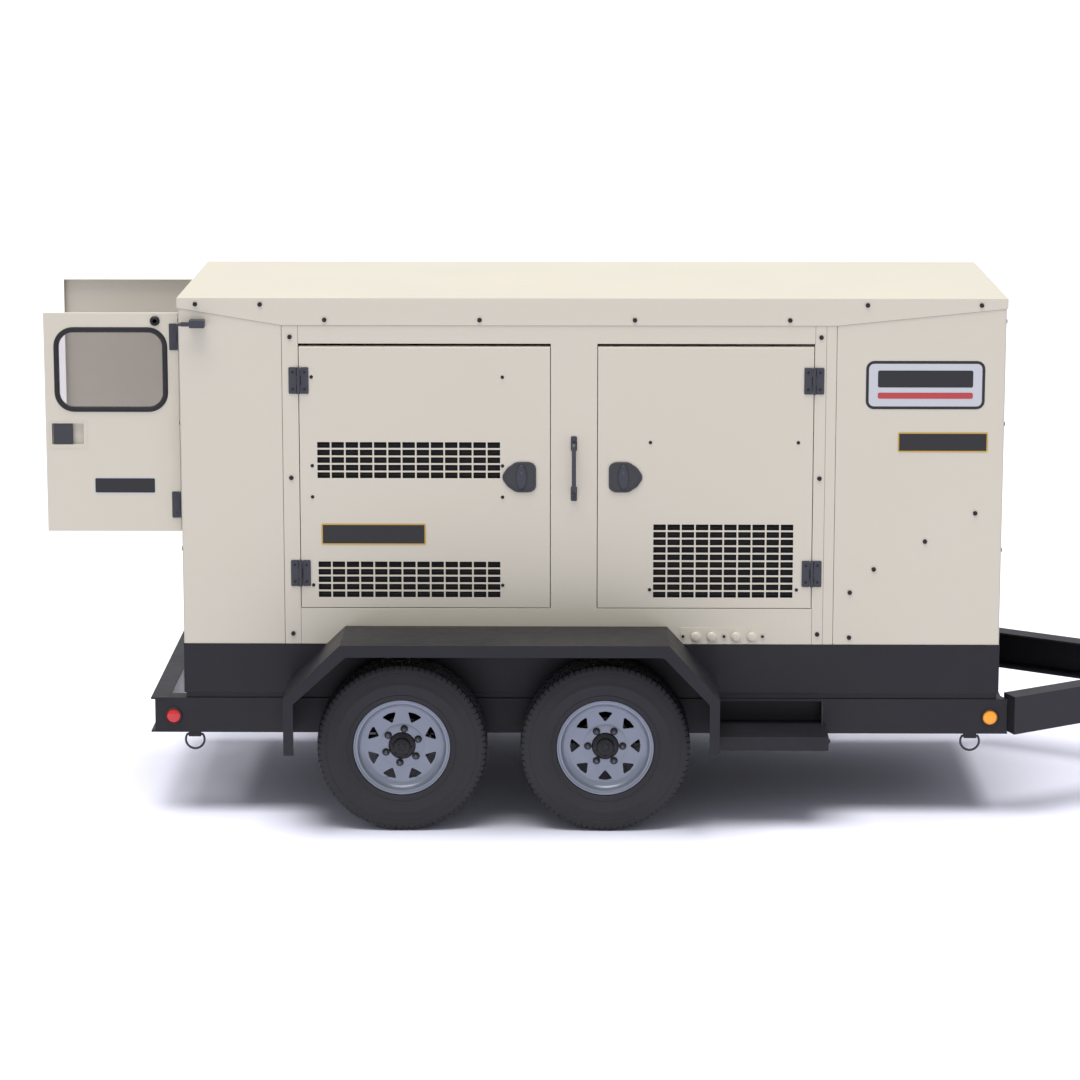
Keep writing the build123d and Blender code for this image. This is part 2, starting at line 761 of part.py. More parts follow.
def side_step(sign):
    """A tread hung on the rail ahead of the fender, with a deep front lip."""
    span = step_span
    inner = half_width - rail_flange + 4
    outer = inner + step_depth
    t = step_sheet
    with BuildPart() as tray:
        tread_x = (span[0] + 0.5, span[1] - 0.5)
        block(tread_x, across(sign, half_width - rail_web, outer), (step_top_z, step_top_z + t))
        inside_x = (span[0] + 0.5, span[1] - 0.5)
        block(inside_x, across(sign, inner, half_width - rail_web), (step_top_z, step_top_z + t))
        block(inside_x, across(sign, inner, inner + t), (step_top_z + t, step_notch_top_z))
        wall_y = across(sign, inner + t, half_width - 0.5)
        for wall_x in (inside_x[0], inside_x[1] - t):
            block((wall_x, wall_x + t), wall_y, (step_top_z + t, step_notch_top_z - 1))
        lip_x = (span[0] + 0.5, span[1] + 12)
        block(lip_x, across(sign, outer - t, outer), (step_top_z - step_lip, step_top_z))
        end_y = across(sign, half_width + 0.5, outer)
        block((span[1] + 7, span[1] + 12), end_y, (step_top_z - step_lip, step_top_z))
        block((span[1] - 2, span[1] + 12), end_y, (step_top_z, step_top_z + t))
        bolt_y = sign * (outer - 60)
        rod_x(bolt_y, step_top_z - 27, (span[1] + 12, span[1] + 22), 9)
    return tray.part


save(group(side_step(-1), side_step(1)), "side_steps")


def lens(x, y, z, radius, direction):
    """A domed round lamp lens in its rubber grommet, pointing outwards."""
    place = Plane(origin=(x, y, z), z_dir=direction)
    with BuildPart() as lamp:
        with BuildSketch(place) as base:
            Circle(radius)
        extrude(base.sketch, amount=6)
        with BuildSketch(place.offset(6)) as face:
            Circle(radius)
        extrude(face.sketch, amount=4, taper=40)
    return lamp.part


red_parts = []
amber_parts = []
for side_sign in SIDES.values():
    outwards = (0, side_sign, 0)
    red_parts.append(lens(marker_rear_x, side_sign * half_width, marker_z, marker_r, outwards))
    tail_y = side_sign * (half_width - tail_lamp_inset)
    red_parts.append(lens(lamp_face_x, tail_y, tail_lamp_z, tail_lamp_r, (-1, 0, 0)))
    amber_parts.append(lens(marker_front_x, side_sign * half_width, marker_z, marker_r, outwards))
save(group(*red_parts), "red_lenses")
save(group(*amber_parts), "amber_lenses")


def lashing_ring(x, sign):
    """A straight bar in the bracket, closed by one round bow below it."""
    y = sign * (half_width - 14)
    bar_half = ring_bracket_width / 2 + ring_bar_r + 1.2
    drop = math.sqrt(ring_mean_r**2 - bar_half**2)
    bow_z = ring_pin_z - drop
    with BuildPart() as ring:
        with Locations(Location((x, y, bow_z), (90, 0, 0))):
            Torus(ring_mean_r, ring_bar_r)
        block((x - 60, x + 60), (y - 20, y + 20), (ring_pin_z, bow_z + 60), Mode.SUBTRACT)
        rod_x(y, ring_pin_z, (x - bar_half, x + bar_half), ring_bar_r)
        for end in (x - bar_half, x + bar_half):
            with Locations((end, y, ring_pin_z)):
                Sphere(ring_bar_r)
    return ring.part


for side, sign in SIDES.items():
    for place, x in zip(("rear", "front"), ring_xs):
        save(lashing_ring(x, sign), f"lashing_ring_{place}_{side}")

# ---------------------------------------------------------------- base and canopy shell
with BuildPart() as base_tank:
    base_x = (canopy_rear_x + 3, canopy_front_x - 3)
    base_y = (-half_width, half_width)
    block(base_x, base_y, (rail_top_z + 24, canopy_bottom_z))
    band_x = (base_x[0] + 8, base_x[1] - 8)
    block(band_x, (-half_width + 8, half_width - 8), (rail_top_z, rail_top_z + 24))
    wall = 5.0
    hollow_x = (band_x[0] + wall, band_x[1] - wall)
    hollow_y = (-half_width + 8 + wall, half_width - 8 - wall)
    hollow_z = (rail_top_z + wall, canopy_bottom_z - wall)
    block(hollow_x, hollow_y, hollow_z, Mode.SUBTRACT)
    filler_x = front_bay[0] + 90
    filler_y = -half_width + 110
    rod_z(filler_x, filler_y, (canopy_bottom_z - wall, canopy_bottom_z), 32, Mode.SUBTRACT)
save(base_tank.part, "base_tank")


def side_frame(sign):
    """The fixed door surround on one side, with a folded jamb round each bay."""
    skin = across(sign, body_half - sheet, body_half)
    jamb = across(sign, body_half - sheet - jamb_depth, body_half - sheet)
    with BuildPart() as surround:
        block(frame_span, skin, (canopy_bottom_z, shell_top_z))
        for bay in (rear_bay, front_bay):
            grown_x = (bay[0] - sheet, bay[1] + sheet)
            block(grown_x, jamb, (door_bottom_z - door_gap - sheet, door_top_z + door_gap + sheet))
        for bay in (rear_bay, front_bay):
            clear_y = across(sign, body_half - sheet - jamb_depth, body_half)
            block(bay, clear_y, (door_bottom_z - door_gap, door_top_z + door_gap), Mode.SUBTRACT)
    return surround.part


for side, sign in SIDES.items():
    save(side_frame(sign), f"side_frame_{side}")


def corner_panel(x, sign):
    """A plain side panel at one corner of the canopy."""
    with BuildPart() as panel:
        block(x, across(sign, body_half - sheet, body_half), (canopy_bottom_z, shell_top_z))
    return panel.part


corner_parts = []
for side_sign in SIDES.values():
    corner_parts.append(corner_panel((rear_face_x + sheet, frame_span[0] - seam), side_sign))
    corner_parts.append(corner_panel((frame_span[1] + seam, front_face_x - sheet), side_sign))
save(group(*corner_parts), "corner_panels")

with BuildPart() as roof:
    block((canopy_rear_x, canopy_front_x), (-half_width, half_width), (roof_z - roof_sheet, roof_z))
    skirt = [
        (canopy_rear_x, roof_z - roof_sheet),
        (canopy_rear_x, skirt_end_z),
        (frame_span[0], skirt_bottom_z),
        (frame_span[1], skirt_bottom_z),
        (canopy_front_x, skirt_end_z),
        (canopy_front_x, roof_z - roof_sheet),
    ]
    for side_sign in SIDES.values():
        prism_y(skirt, across(side_sign, body_half, half_width))
    end_z = (skirt_end_z, roof_z - roof_sheet)
    block((canopy_rear_x, canopy_rear_x + sheet), (-half_width, half_width), end_z)
    block((canopy_front_x - sheet, canopy_front_x), (-half_width, half_width), end_z)
save(roof.part, "roof")

with BuildPart() as front_end_panel:
    panel_x = (front_face_x - sheet, front_face_x)
    block(panel_x, (-body_half, body_half), (canopy_bottom_z, shell_top_z))
    with BuildSketch(Plane.YZ.offset(panel_x[0])) as louvres:
        with Locations((0, 1420)):
            with GridLocations(96, 44, 11, 22):
                SlotOverall(80, 24)
    extrude(louvres.sketch, amount=sheet, mode=Mode.SUBTRACT)
save(front_end_panel.part, "front_end_panel")

rear_opening_z = (rear_door_bottom_z - rear_opening_margin, rear_door_top_z + rear_opening_margin)
with BuildPart() as rear_frame:
    panel_x = (rear_face_x, rear_face_x + sheet)
    block(panel_x, (-body_half, body_half), (canopy_bottom_z, shell_top_z))
    return_x = (rear_face_x + sheet, rear_face_x + 34)
    grown = rear_opening_half + sheet
    grown_z = (rear_opening_z[0] - sheet, rear_opening_z[1] + sheet)
    block(return_x, (-grown, grown), grown_z)
    cut_x = (rear_face_x, rear_face_x + 34)
    block(cut_x, (-rear_opening_half, rear_opening_half), rear_opening_z, Mode.SUBTRACT)
save(rear_frame.part, "rear_frame")

with BuildPart() as gland_strip:
    strip_z = (canopy_bottom_z + 3, canopy_bottom_z + 3 + gland_strip_height)
    strip_x = (front_bay[0] + gland_strip_run, front_bay[0] + gland_strip_run + gland_strip_length)
    block(strip_x, (-body_half - 3, -body_half), strip_z)
    for run in gland_runs:
        rod_y(strip_x[0] + run, strip_z[0] + 31, (-body_half - 12, -body_half - 3), gland_r)
    for run in gland_screw_runs:
        rod_y(strip_x[0] + run, strip_z[0] + 33, (-body_half - 3 - screw_head, -body_half - 3), screw_r)
save(gland_strip.part, "gland_strip")

with BuildPart() as grab_handles:
    handle_x = (rear_bay[1] + front_bay[0]) / 2
    for side_sign in SIDES.values():
        out = body_half
        for pad_z in (handle_bottom_z, handle_top_z - handle_pad_height):
            pad_x = (handle_x - handle_pad_width / 2, handle_x + handle_pad_width / 2)
            block(pad_x, across(side_sign, out, out + 5), (pad_z, pad_z + handle_pad_height))
            middle = pad_z + handle_pad_height / 2
            post_x = (handle_x - 6, handle_x + 6)
            post_y = across(side_sign, out + 5, out + handle_reach - handle_bar)
            block(post_x, post_y, (middle - 8, middle + 8))
        bar_x = (handle_x - handle_bar_width / 2, handle_x + handle_bar_width / 2)
        bar_y = across(side_sign, out + handle_reach - handle_bar, out + handle_reach)
        block(bar_x, bar_y, (handle_bottom_z + 14, handle_top_z - 14))
save(grab_handles.part, "grab_handles")


# ---------------------------------------------------------------- hinges
def knuckle_heights(z):
    """Heights of a hinge: the whole leaf, its top, middle and bottom knuckles."""
    third = hinge_height / 3
    low, high = z - hinge_height / 2, z + hinge_height / 2
    middle = (low + third + hinge_knuckle_gap, high - third - hinge_knuckle_gap)
    return (low, high), (high - third, high), middle, (low, low + third)


def side_leaf_plate(x, way, sign, z):
    """A side hinge's flat plate, beside the barrel, against the skin."""
    near = hinge_barrel_r + 1
    plate_x = sorted((x + way * near, x + way * (near + hinge_leaf_width)))
    block(plate_x, across(sign, body_half, body_half + hinge_leaf), z)


def side_moving_leaf(x, z, way, sign):
    """The door's leaf of a side hinge: a plate and the bored middle knuckle."""
    whole, _, middle, _ = knuckle_heights(z)
    y = sign * side_axis_y
    with BuildPart() as leaf:
        side_leaf_plate(x, way, sign, whole)
        bridge = sorted((x, x + way * (hinge_barrel_r + 1)))
        block(bridge, across(sign, body_half, body_half + hinge_leaf), middle)
        rod_z(x, y, middle, hinge_barrel_r)
        rod_z(x, y, middle, hinge_pin_r + running_gap, Mode.SUBTRACT)
    return leaf.part


def side_fixed_leaf(x, z, way, sign):
    """The frame's leaf of a side hinge: plate, two knuckles and the pin."""
    whole, top, _, bottom = knuckle_heights(z)
    y = sign * side_axis_y
    with BuildPart() as leaf:
        side_leaf_plate(x, way, sign, whole)
        for knuckle in (top, bottom):
            bridge = sorted((x, x + way * (hinge_barrel_r + 1)))
            block(bridge, across(sign, body_half, body_half + hinge_leaf), knuckle)
            rod_z(x, y, knuckle, hinge_barrel_r)
        rod_z(x, y, whole, hinge_pin_r)
    return leaf.part


def rear_moving_leaf(z, sign):
    """The rear door's leaf, on the outside of the open door."""
    whole, _, middle, _ = knuckle_heights(z)
    near = rear_hinge_barrel_r + 1
    face = rear_axis_y - rear_hinge_barrel_r
    plate_y = across(sign, face, face + rear_hinge_leaf)
    with BuildPart() as leaf:
        block((rear_axis_x - near - hinge_leaf_width, rear_axis_x - near), plate_y, whole)
        block((rear_axis_x - near, rear_axis_x), plate_y, middle)
        rod_z(rear_axis_x, sign * rear_axis_y, middle, rear_hinge_barrel_r)
        rod_z(rear_axis_x, sign * rear_axis_y, middle, hinge_pin_r + running_gap, Mode.SUBTRACT)
    return leaf.part


def rear_fixed_leaf(z, sign):
    """The corner post's leaf of a rear hinge: plate, two knuckles and the pin."""
    whole, top, _, bottom = knuckle_heights(z)
    near = rear_hinge_barrel_r + 1
    plate_x = (rear_face_x - rear_hinge_leaf, rear_face_x)
    with BuildPart() as leaf:
        plate_y = across(sign, rear_axis_y + near, rear_axis_y + near + hinge_leaf_width)
        block(plate_x, plate_y, whole)
        for knuckle in (top, bottom):
            block(plate_x, across(sign, rear_axis_y, rear_axis_y + near), knuckle)
            rod_z(rear_axis_x, sign * rear_axis_y, knuckle, rear_hinge_barrel_r)
        rod_z(rear_axis_x, sign * rear_axis_y, whole, hinge_pin_r)
    return leaf.part


side_axis_y = body_half + hinge_barrel_r + 1
side_axis_x = {"rear": rear_bay[0] + door_gap / 2, "front": front_bay[1] - door_gap / 2}
rear_axis_x = rear_face_x - rear_hinge_barrel_r
rear_axis_y = rear_opening_half - 3

leaf_parts = []
for side_sign in SIDES.values():
    for z in (hinge_upper_z, hinge_lower_z):
        for place, way in (("rear", -1), ("front", 1)):
            leaf_parts.append(side_fixed_leaf(side_axis_x[place], z, way, side_sign))
    for z in (rear_hinge_upper_z, rear_hinge_lower_z):
        leaf_parts.append(rear_fixed_leaf(z, side_sign))
save(group(*leaf_parts), "fixed_hinge_leaves")


# ---------------------------------------------------------------- side doors and latches
def latch_outline(x, way):
    """A latch plate outline: flat towards the door's free edge, pointed the other way."""
    w = latch_width
    h = latch_height
    return [
        (x + way * w * 0.5, latch_z - h * 0.42),
        (x + way * w * 0.5, latch_z + h * 0.42),
        (x + way * w * 0.36, latch_z + h * 0.5),
        (x - way * w * 0.12, latch_z + h * 0.5),
        (x - way * w * 0.5, latch_z + h * 0.12),
        (x - way * w * 0.5, latch_z - h * 0.12),
        (x - way * w * 0.12, latch_z - h * 0.5),
        (x + way * w * 0.36, latch_z - h * 0.5),
    ]


def latch_x(place):
    """Middle of a side door's latch plate, off the door's free edge."""
    if place == "rear":
        return rear_bay[1] - door_gap - latch_edge_runs[place]
    return front_bay[0] + door_gap + latch_edge_runs[place]


def latch_shaft_x(place):
    """Turning axis of a side door's latch, set off the plate's middle."""
    return latch_x(place) + latch_shaft_run * (1 if place == "rear" else -1)


def grille_spots(place):
    """Slot centres (x, z) and counts of each grille in a side door."""
    if place == "rear":
        middle = rear_bay[0] + slot_edge_run + slot_columns * slot_pitch_x / 2
        return [
            (middle, slot_upper_z, slot_columns, slot_rows),
            (middle, slot_lower_z, slot_columns, slot_rows),
        ]
    middle = front_bay[0] + front_slot_run + front_slot_columns * slot_pitch_x / 2
    return [(middle, front_slot_z, front_slot_columns, front_slot_rows)]


def side_door(place, sign):
    """A folded door panel with its grilles, moving hinge leaves and latch plate."""
    bay = rear_bay if place == "rear" else front_bay
    span = (bay[0] + door_gap, bay[1] - door_gap)
    tall = (door_bottom_z, door_top_z)
    skin = across(sign, body_half - sheet, body_half)
    with BuildPart() as panel:
        block(span, across(sign, body_half - door_depth, body_half), tall)
        inner_x = (span[0] + sheet, span[1] - sheet)
        inner_z = (tall[0] + sheet, tall[1] - sheet)
        inner_y = across(sign, body_half - door_depth, body_half - sheet)
        block(inner_x, inner_y, inner_z, Mode.SUBTRACT)
        for x, z, columns, rows in grille_spots(place):
            with BuildSketch(Plane.XZ.offset(-skin[1])) as slots:
                with Locations((x, z)):
                    with GridLocations(slot_pitch_x, slot_pitch_z, columns, rows):
                        Rectangle(slot_width, slot_height)
            extrude(slots.sketch, amount=sheet, mode=Mode.SUBTRACT)
        shaft_hole = latch_shaft_r + running_gap
        rod_y(latch_shaft_x(place), latch_z, skin, shaft_hole, Mode.SUBTRACT)
    way = 1 if place == "rear" else -1
    with BuildPart() as plate:
        prism_y(latch_outline(latch_x(place), way), across(sign, body_half, body_half + latch_plate))
        hole_y = across(sign, body_half, body_half + latch_plate)
        rod_y(latch_shaft_x(place), latch_z, hole_y, latch_shaft_r + running_gap, Mode.SUBTRACT)
    leaves = [side_moving_leaf(side_axis_x[place], z, way, sign) for z in (hinge_upper_z, hinge_lower_z)]
    return group(panel.part, plate.part, *leaves)


def side_latch(place, sign):
    """An oval turning handle on its shaft, with the cam behind the door skin."""
    x = latch_shaft_x(place)
    way = 1 if place == "rear" else -1
    outer = body_half + latch_plate + 0.3
    with BuildPart() as handle:
        y = across(sign, outer, outer + paddle_thickness)
        with BuildSketch(Plane.XZ.offset(-y[1])) as oval:
            with Locations((x, latch_z)):
                Ellipse(paddle_width / 2, paddle_height / 2)
        extrude(oval.sketch, amount=paddle_thickness)
        shaft_y = across(sign, body_half - 22, outer)
        rod_y(x, latch_z, shaft_y, latch_shaft_r)
        cam_y = across(sign, body_half - 27, body_half - 22)
        cam_x = sorted((x - way * 14, x + way * latch_cam_length))
        block(cam_x, cam_y, (latch_z - 14, latch_z + 14))
    return handle.part


for side, sign in SIDES.items():
    for place in ("rear", "front"):
        save(side_door(place, sign), f"service_door_{place}_{side}")
        save(side_latch(place, sign), f"door_latch_{place}_{side}")


# ---------------------------------------------------------------- rear doors, open at rest
rear_latch_mid_x = rear_axis_x - rear_hinge_edge - rear_door_right_width + rear_latch_run
rear_latch_x = (rear_latch_mid_x - rear_latch_width / 2, rear_latch_mid_x + rear_latch_width / 2)


def rounded_window(grow):
    """The rear window's rounded outline (x, z), grown or shrunk by a margin."""
    middle = rear_axis_x - rear_hinge_edge - window_run - window_width / 2
    return middle, window_width + 2 * grow, window_height + 2 * grow, window_corner_r + grow


def rear_door(sign, width, window):
    """A rear door panel standing open along X, with its hinge leaves."""
    outer = rear_axis_y - rear_hinge_barrel_r
    span = (rear_axis_x - rear_hinge_edge - width, rear_axis_x - rear_hinge_edge)
    tall = (rear_door_bottom_z, rear_door_top_z)
    with BuildPart() as panel:
        block(span, across(sign, outer - rear_door_depth, outer), tall)
        inner_x = (span[0] + sheet, span[1] - sheet)
        inner_z = (tall[0] + sheet, tall[1] - sheet)
        block(inner_x, across(sign, outer - rear_door_depth, outer - sheet), inner_z, Mode.SUBTRACT)
        skin = across(sign, outer - sheet, outer)
        if window:
            middle, w, h, r = rounded_window(-window_seal / 2)
            with BuildSketch(Plane.XZ.offset(-skin[1])) as pane:
                with Locations((middle, window_mid_z)):
                    RectangleRounded(w, h, r)
            extrude(pane.sketch, amount=sheet, mode=Mode.SUBTRACT)
            cut_x = (rear_latch_x[0] - 8, rear_latch_x[1] + rear_latch_reach)
            hole = rear_latch_height / 2 + 1
            cut_z = (rear_latch_z - hole, rear_latch_z + hole)
            pan_x = (cut_x[0] - sheet, cut_x[1] + sheet)
            block(pan_x, across(sign, outer - 21, outer - sheet), (cut_z[0] - sheet, cut_z[1] + sheet))
            block(cut_x, across(sign, outer - 18, outer), cut_z, Mode.SUBTRACT)
            rod_y(rear_axis_x - socket_run, socket_z, across(sign, outer, outer + 10), socket_r)
            rod_y(rear_axis_x - socket_run, socket_z, across(sign, outer + 2, outer + 10), 9, Mode.SUBTRACT)
    leaves = [rear_moving_leaf(z, sign) for z in (rear_hinge_upper_z, rear_hinge_lower_z)]
    return group(panel.part, *leaves)


hinge_side_gap = rear_opening_half - rear_axis_y + rear_hinge_edge
rear_door_left_width = (
    2 * (rear_opening_half - hinge_side_gap) - rear_door_right_width - rear_door_meeting_gap
)
save(rear_door(-1, rear_door_right_width, True), "rear_door_right")
save(rear_door(1, rear_door_left_width, False), "rear_door_left")

window_y = rear_axis_y - rear_hinge_barrel_r
with BuildPart() as rear_window_seal:
    for grow, span_y, mode in (
        (0, (window_y, window_y + 5), Mode.ADD),
        (-window_seal / 2, (window_y - sheet - 4, window_y), Mode.ADD),
        (0, (window_y - sheet - 8, window_y - sheet), Mode.ADD),
        (-window_seal, (window_y - sheet - 8, window_y + 5), Mode.SUBTRACT),
    ):
        middle, w, h, r = rounded_window(grow)
        with BuildSketch(Plane.XZ.offset(span_y[1])) as ring:
            with Locations((middle, window_mid_z)):
                RectangleRounded(w, h, r)
        extrude(ring.sketch, amount=-(span_y[1] - span_y[0]), mode=mode)
    middle, w, h, r = rounded_window(-window_seal + 7)
    with BuildSketch(Plane.XZ.offset(window_y + 1)) as groove:
        with Locations((middle, window_mid_z)):
            RectangleRounded(w, h, r)
    extrude(groove.sketch, amount=-glass_thickness, mode=Mode.SUBTRACT)
save(rear_window_seal.part, "rear_window_seal")

with BuildPart() as rear_window_glass:
    middle, w, h, r = rounded_window(-window_seal + 6.9)
    with BuildSketch(Plane.XZ.offset(window_y + 1)) as pane:
        with Locations((middle, window_mid_z)):
            RectangleRounded(w, h, r)
    extrude(pane.sketch, amount=-glass_thickness)
save(rear_window_glass.part, "rear_window_glass")

with BuildPart() as rear_latch:
    paddle_z = (rear_latch_z - rear_latch_height / 2, rear_latch_z + rear_latch_height / 2)
    block(rear_latch_x, (-window_y - 1, -window_y + 4), paddle_z)
    pin_y = -window_y + rear_latch_pin_run
    rod_z(rear_latch_x[0] + rear_latch_pin_r, pin_y, paddle_z, rear_latch_pin_r)
save(rear_latch.part, "rear_latch")

catch_y = rear_axis_y + socket_run
with BuildPart() as holdback_catches:
    for side_sign in SIDES.values():
        body_x = (rear_face_x + 50, rear_face_x + 112)
        block(body_x, across(side_sign, body_half, catch_y + 7), (socket_z - 16, socket_z + 16))
        arm_x = (rear_face_x + 16, rear_face_x + 50)
        block(arm_x, across(side_sign, catch_y - 6, catch_y + 6), (socket_z - 9, socket_z + 9))
        rod_x(side_sign * catch_y, socket_z, (rear_face_x + 4, rear_face_x + 16), 8)
save(holdback_catches.part, "holdback_catches")


# ---------------------------------------------------------------- canopy screws
def screw_spots():
    """Screw centres on one side: (x, z) on the roof skirt and the fixed panels."""
    skirt = []
    left, right = canopy_rear_x, canopy_front_x
    for x, z in (
        (left + 78, skirt_end_z + 16),
        (left + 350, skirt_end_z + 15),
        (left + 620, skirt_bottom_z + 23),
        (left + 1272, skirt_bottom_z + 23),
        (left + 1924, skirt_bottom_z + 23),
        (left + 2575, skirt_bottom_z + 23),
        (right - 589, skirt_end_z + 14),
        (right - 112, skirt_end_z + 14),
    ):
        skirt.append((x, z))
    panel = []
    for z in (2069, 1468, 794):
        panel.append((rear_bay[0] - 34, z))
        panel.append((front_bay[1] + 26, z))
    for drop, z in ((120, 1320), (330, 1198), (545, 1077), (645, 976), (645, 780)):
        panel.append((right - drop, z))
    return skirt, panel


with BuildPart() as canopy_screws:
    skirt_spots, panel_spots = screw_spots()
    for side_sign in SIDES.values():
        for x, z in skirt_spots:
            rod_y(x, z, across(side_sign, half_width, half_width + screw_head), screw_r)
        for x, z in panel_spots:
            rod_y(x, z, across(side_sign, body_half, body_half + screw_head), screw_r)
        for z in (2136, 1700, 1158, 780):
            rod_x(side_sign * (body_half - 24), z, (rear_face_x - screw_head, rear_face_x), screw_r)
            rod_x(side_sign * (body_half - 24), z, (front_face_x, front_face_x + screw_head), screw_r)
save(canopy_screws.part, "canopy_screws")

# ---------------------------------------------------------------- engine set inside
engine_mid_x = canopy_mid_x + engine_mid_run
engine_x = (engine_mid_x - engine_length / 2, engine_mid_x + engine_length / 2)
block_half = engine_width * 0.36
sump_half = engine_width * 0.4
fan_x = engine_x[1] + nose_length + fan_gap
manifold_flange_z = engine_top_z - 24
with BuildPart() as engine_casting:
    block(engine_x, (-block_half, block_half), (engine_bottom_z + 150, engine_top_z))
    rocker_half = engine_width * 0.275
    rocker_x = (engine_x[0] + 30, engine_x[1] - 30)
    block(rocker_x, (-rocker_half, rocker_half), (engine_top_z, engine_top_z + 130))
    rod_x(0, crankshaft_z, (engine_x[1], engine_x[1] + nose_length), 110)
    rod_x(0, crankshaft_z, (engine_x[1] + nose_length, fan_x + fan_depth + 8), fan_shaft_r)
    for index in range(4):
        port_x = engine_x[0] + 140 + index * 150
        rod_y(port_x, engine_top_z - 70, (block_half, block_half + 60), 28)
    manifold_y = block_half + 80
    rod_x(manifold_y, engine_top_z - 70, (engine_x[0] + 90, engine_x[1] - 180), 40)
    flange_x = (engine_x[0] + 250, engine_x[0] + 350)
    block(flange_x, (manifold_y - 50, manifold_y + 50), (engine_top_z - 60, manifold_flange_z))
    crankcase_x = (engine_x[0] + engine_wall, engine_x[1] - engine_wall)
    crankcase_y = (-block_half + engine_wall, block_half - engine_wall)
    crankcase_z = (engine_bottom_z + 150, engine_top_z - 90)
    block(crankcase_x, crankcase_y, crankcase_z, Mode.SUBTRACT)
with BuildPart() as sump:
    sump_x = (engine_x[0] + 40, engine_x[1] - 40)
    block(sump_x, (-sump_half, sump_half), (engine_bottom_z + 10, engine_bottom_z + 150))
    pan_x = (sump_x[0] + 6, sump_x[1] - 6)
    pan_z = (engine_bottom_z + 16, engine_bottom_z + 150)
    block(pan_x, (-sump_half + 6, sump_half - 6), pan_z, Mode.SUBTRACT)
mounts = []
for x in (engine_x[0] + 2, engine_x[1] - 62):
    for side_sign in SIDES.values():
        with BuildPart() as mount:
            foot_y = across(side_sign, block_half, block_half + 90)
            block((x, x + 60), foot_y, (canopy_bottom_z, engine_bottom_z + 190))
        mounts.append(mount.part)
save(group(engine_casting.part, sump.part, *mounts), "engine_block")

with BuildPart() as alternator:
    alt_x = (engine_x[0] - alternator_length, engine_x[0])
    rod_x(0, crankshaft_z, (alt_x[0] + 30, alt_x[1] - 90), alternator_r)
    rod_x(0, crankshaft_z, (alt_x[1] - 90, alt_x[1]), alternator_r * 0.82)
    rod_x(0, crankshaft_z, (alt_x[0], alt_x[0] + 30), alternator_r * 0.7)
    foot_half = alternator_r * 0.88
    foot_z = (canopy_bottom_z, crankshaft_z - alternator_r * 0.6)
    for x in (alt_x[0] + 90, alt_x[1] - 190):
        for side_sign in SIDES.values():
            block((x, x + 70), across(side_sign, foot_half - 60, foot_half), foot_z)
    box_x = (alt_x[0] + 60, alt_x[1] - 140)
    box_half = alternator_r * 0.6
    box_z = (crankshaft_z + alternator_r * 0.7, crankshaft_z + alternator_r * 1.45)
    block(box_x, (-box_half, box_half), box_z)
    stator_r = alternator_r - stator_wall
    rod_x(0, crankshaft_z, (alt_x[0] + 30, alt_x[1] - 110), stator_r, Mode.SUBTRACT)
    inside_x = (box_x[0] + sheet, box_x[1] - sheet)
    inside_y = (-box_half + sheet, box_half - sheet)
    block(inside_x, inside_y, (crankshaft_z, box_z[1] - sheet), Mode.SUBTRACT)
    rod_x(0, crankshaft_z, (alt_x[0] + 20, alt_x[1] - 90), alternator_r * 0.28)
    with BuildSketch(Plane.YZ.offset(alt_x[0])) as vents:
        with Locations((0, crankshaft_z)):
            with PolarLocations(alternator_r * 0.5, 8):
                Circle(28)
    extrude(vents.sketch, amount=30, mode=Mode.SUBTRACT)
save(alternator.part, "alternator")

with BuildPart() as radiator:
    rad_x = fan_x + fan_depth + fan_gap
    rad_end = rad_x + radiator_thickness
    core_x = (rad_x + 40, rad_x + 40 + radiator_core)
    rad_y = (-radiator_half_width, radiator_half_width)
    core_y = (-radiator_half_width + 30, radiator_half_width - 30)
    block((rad_x, rad_end), rad_y, (canopy_bottom_z, radiator_top_z))
    frame_z = (canopy_bottom_z + 30, radiator_top_z)
    block((rad_x, rad_end), core_y, frame_z, Mode.SUBTRACT)
    block(core_x, core_y, frame_z)
    tank_z = (radiator_top_z, radiator_top_z + 90)
    block((rad_x - 14, rad_end + 14), rad_y, tank_z)
    block((rad_x - 10, rad_end + 10), core_y, (tank_z[0] + 4, tank_z[1] - 4), Mode.SUBTRACT)
    neck_x = (rad_x + rad_end) / 2
    rod_z(neck_x, -120, (tank_z[1], tank_z[1] + 30), 34)
    rod_z(neck_x, -120, (tank_z[1] - 4, tank_z[1] + 26), 28, Mode.SUBTRACT)
save(radiator.part, "radiator")

with BuildPart() as radiator_fan:
    rod_x(0, crankshaft_z, (fan_x, fan_x + fan_depth), fan_hub_r)
    for index in range(fan_blades):
        angle = 2 * math.pi * index / fan_blades
        direction = (0, math.cos(angle), math.sin(angle))
        root = Plane(origin=(fan_x + fan_depth / 2, 0, crankshaft_z), x_dir=(1, 0, 0), z_dir=direction)
        with BuildSketch(root.offset(fan_hub_r - 6)) as blade:
            Rectangle(fan_depth * 0.1, fan_depth * 1.5, rotation=fan_pitch)
        extrude(blade.sketch, amount=fan_r - fan_hub_r)
    rod_x(0, crankshaft_z, (fan_x, fan_x + fan_depth), fan_shaft_r + running_gap, Mode.SUBTRACT)
save(radiator_fan.part, "radiator_fan")

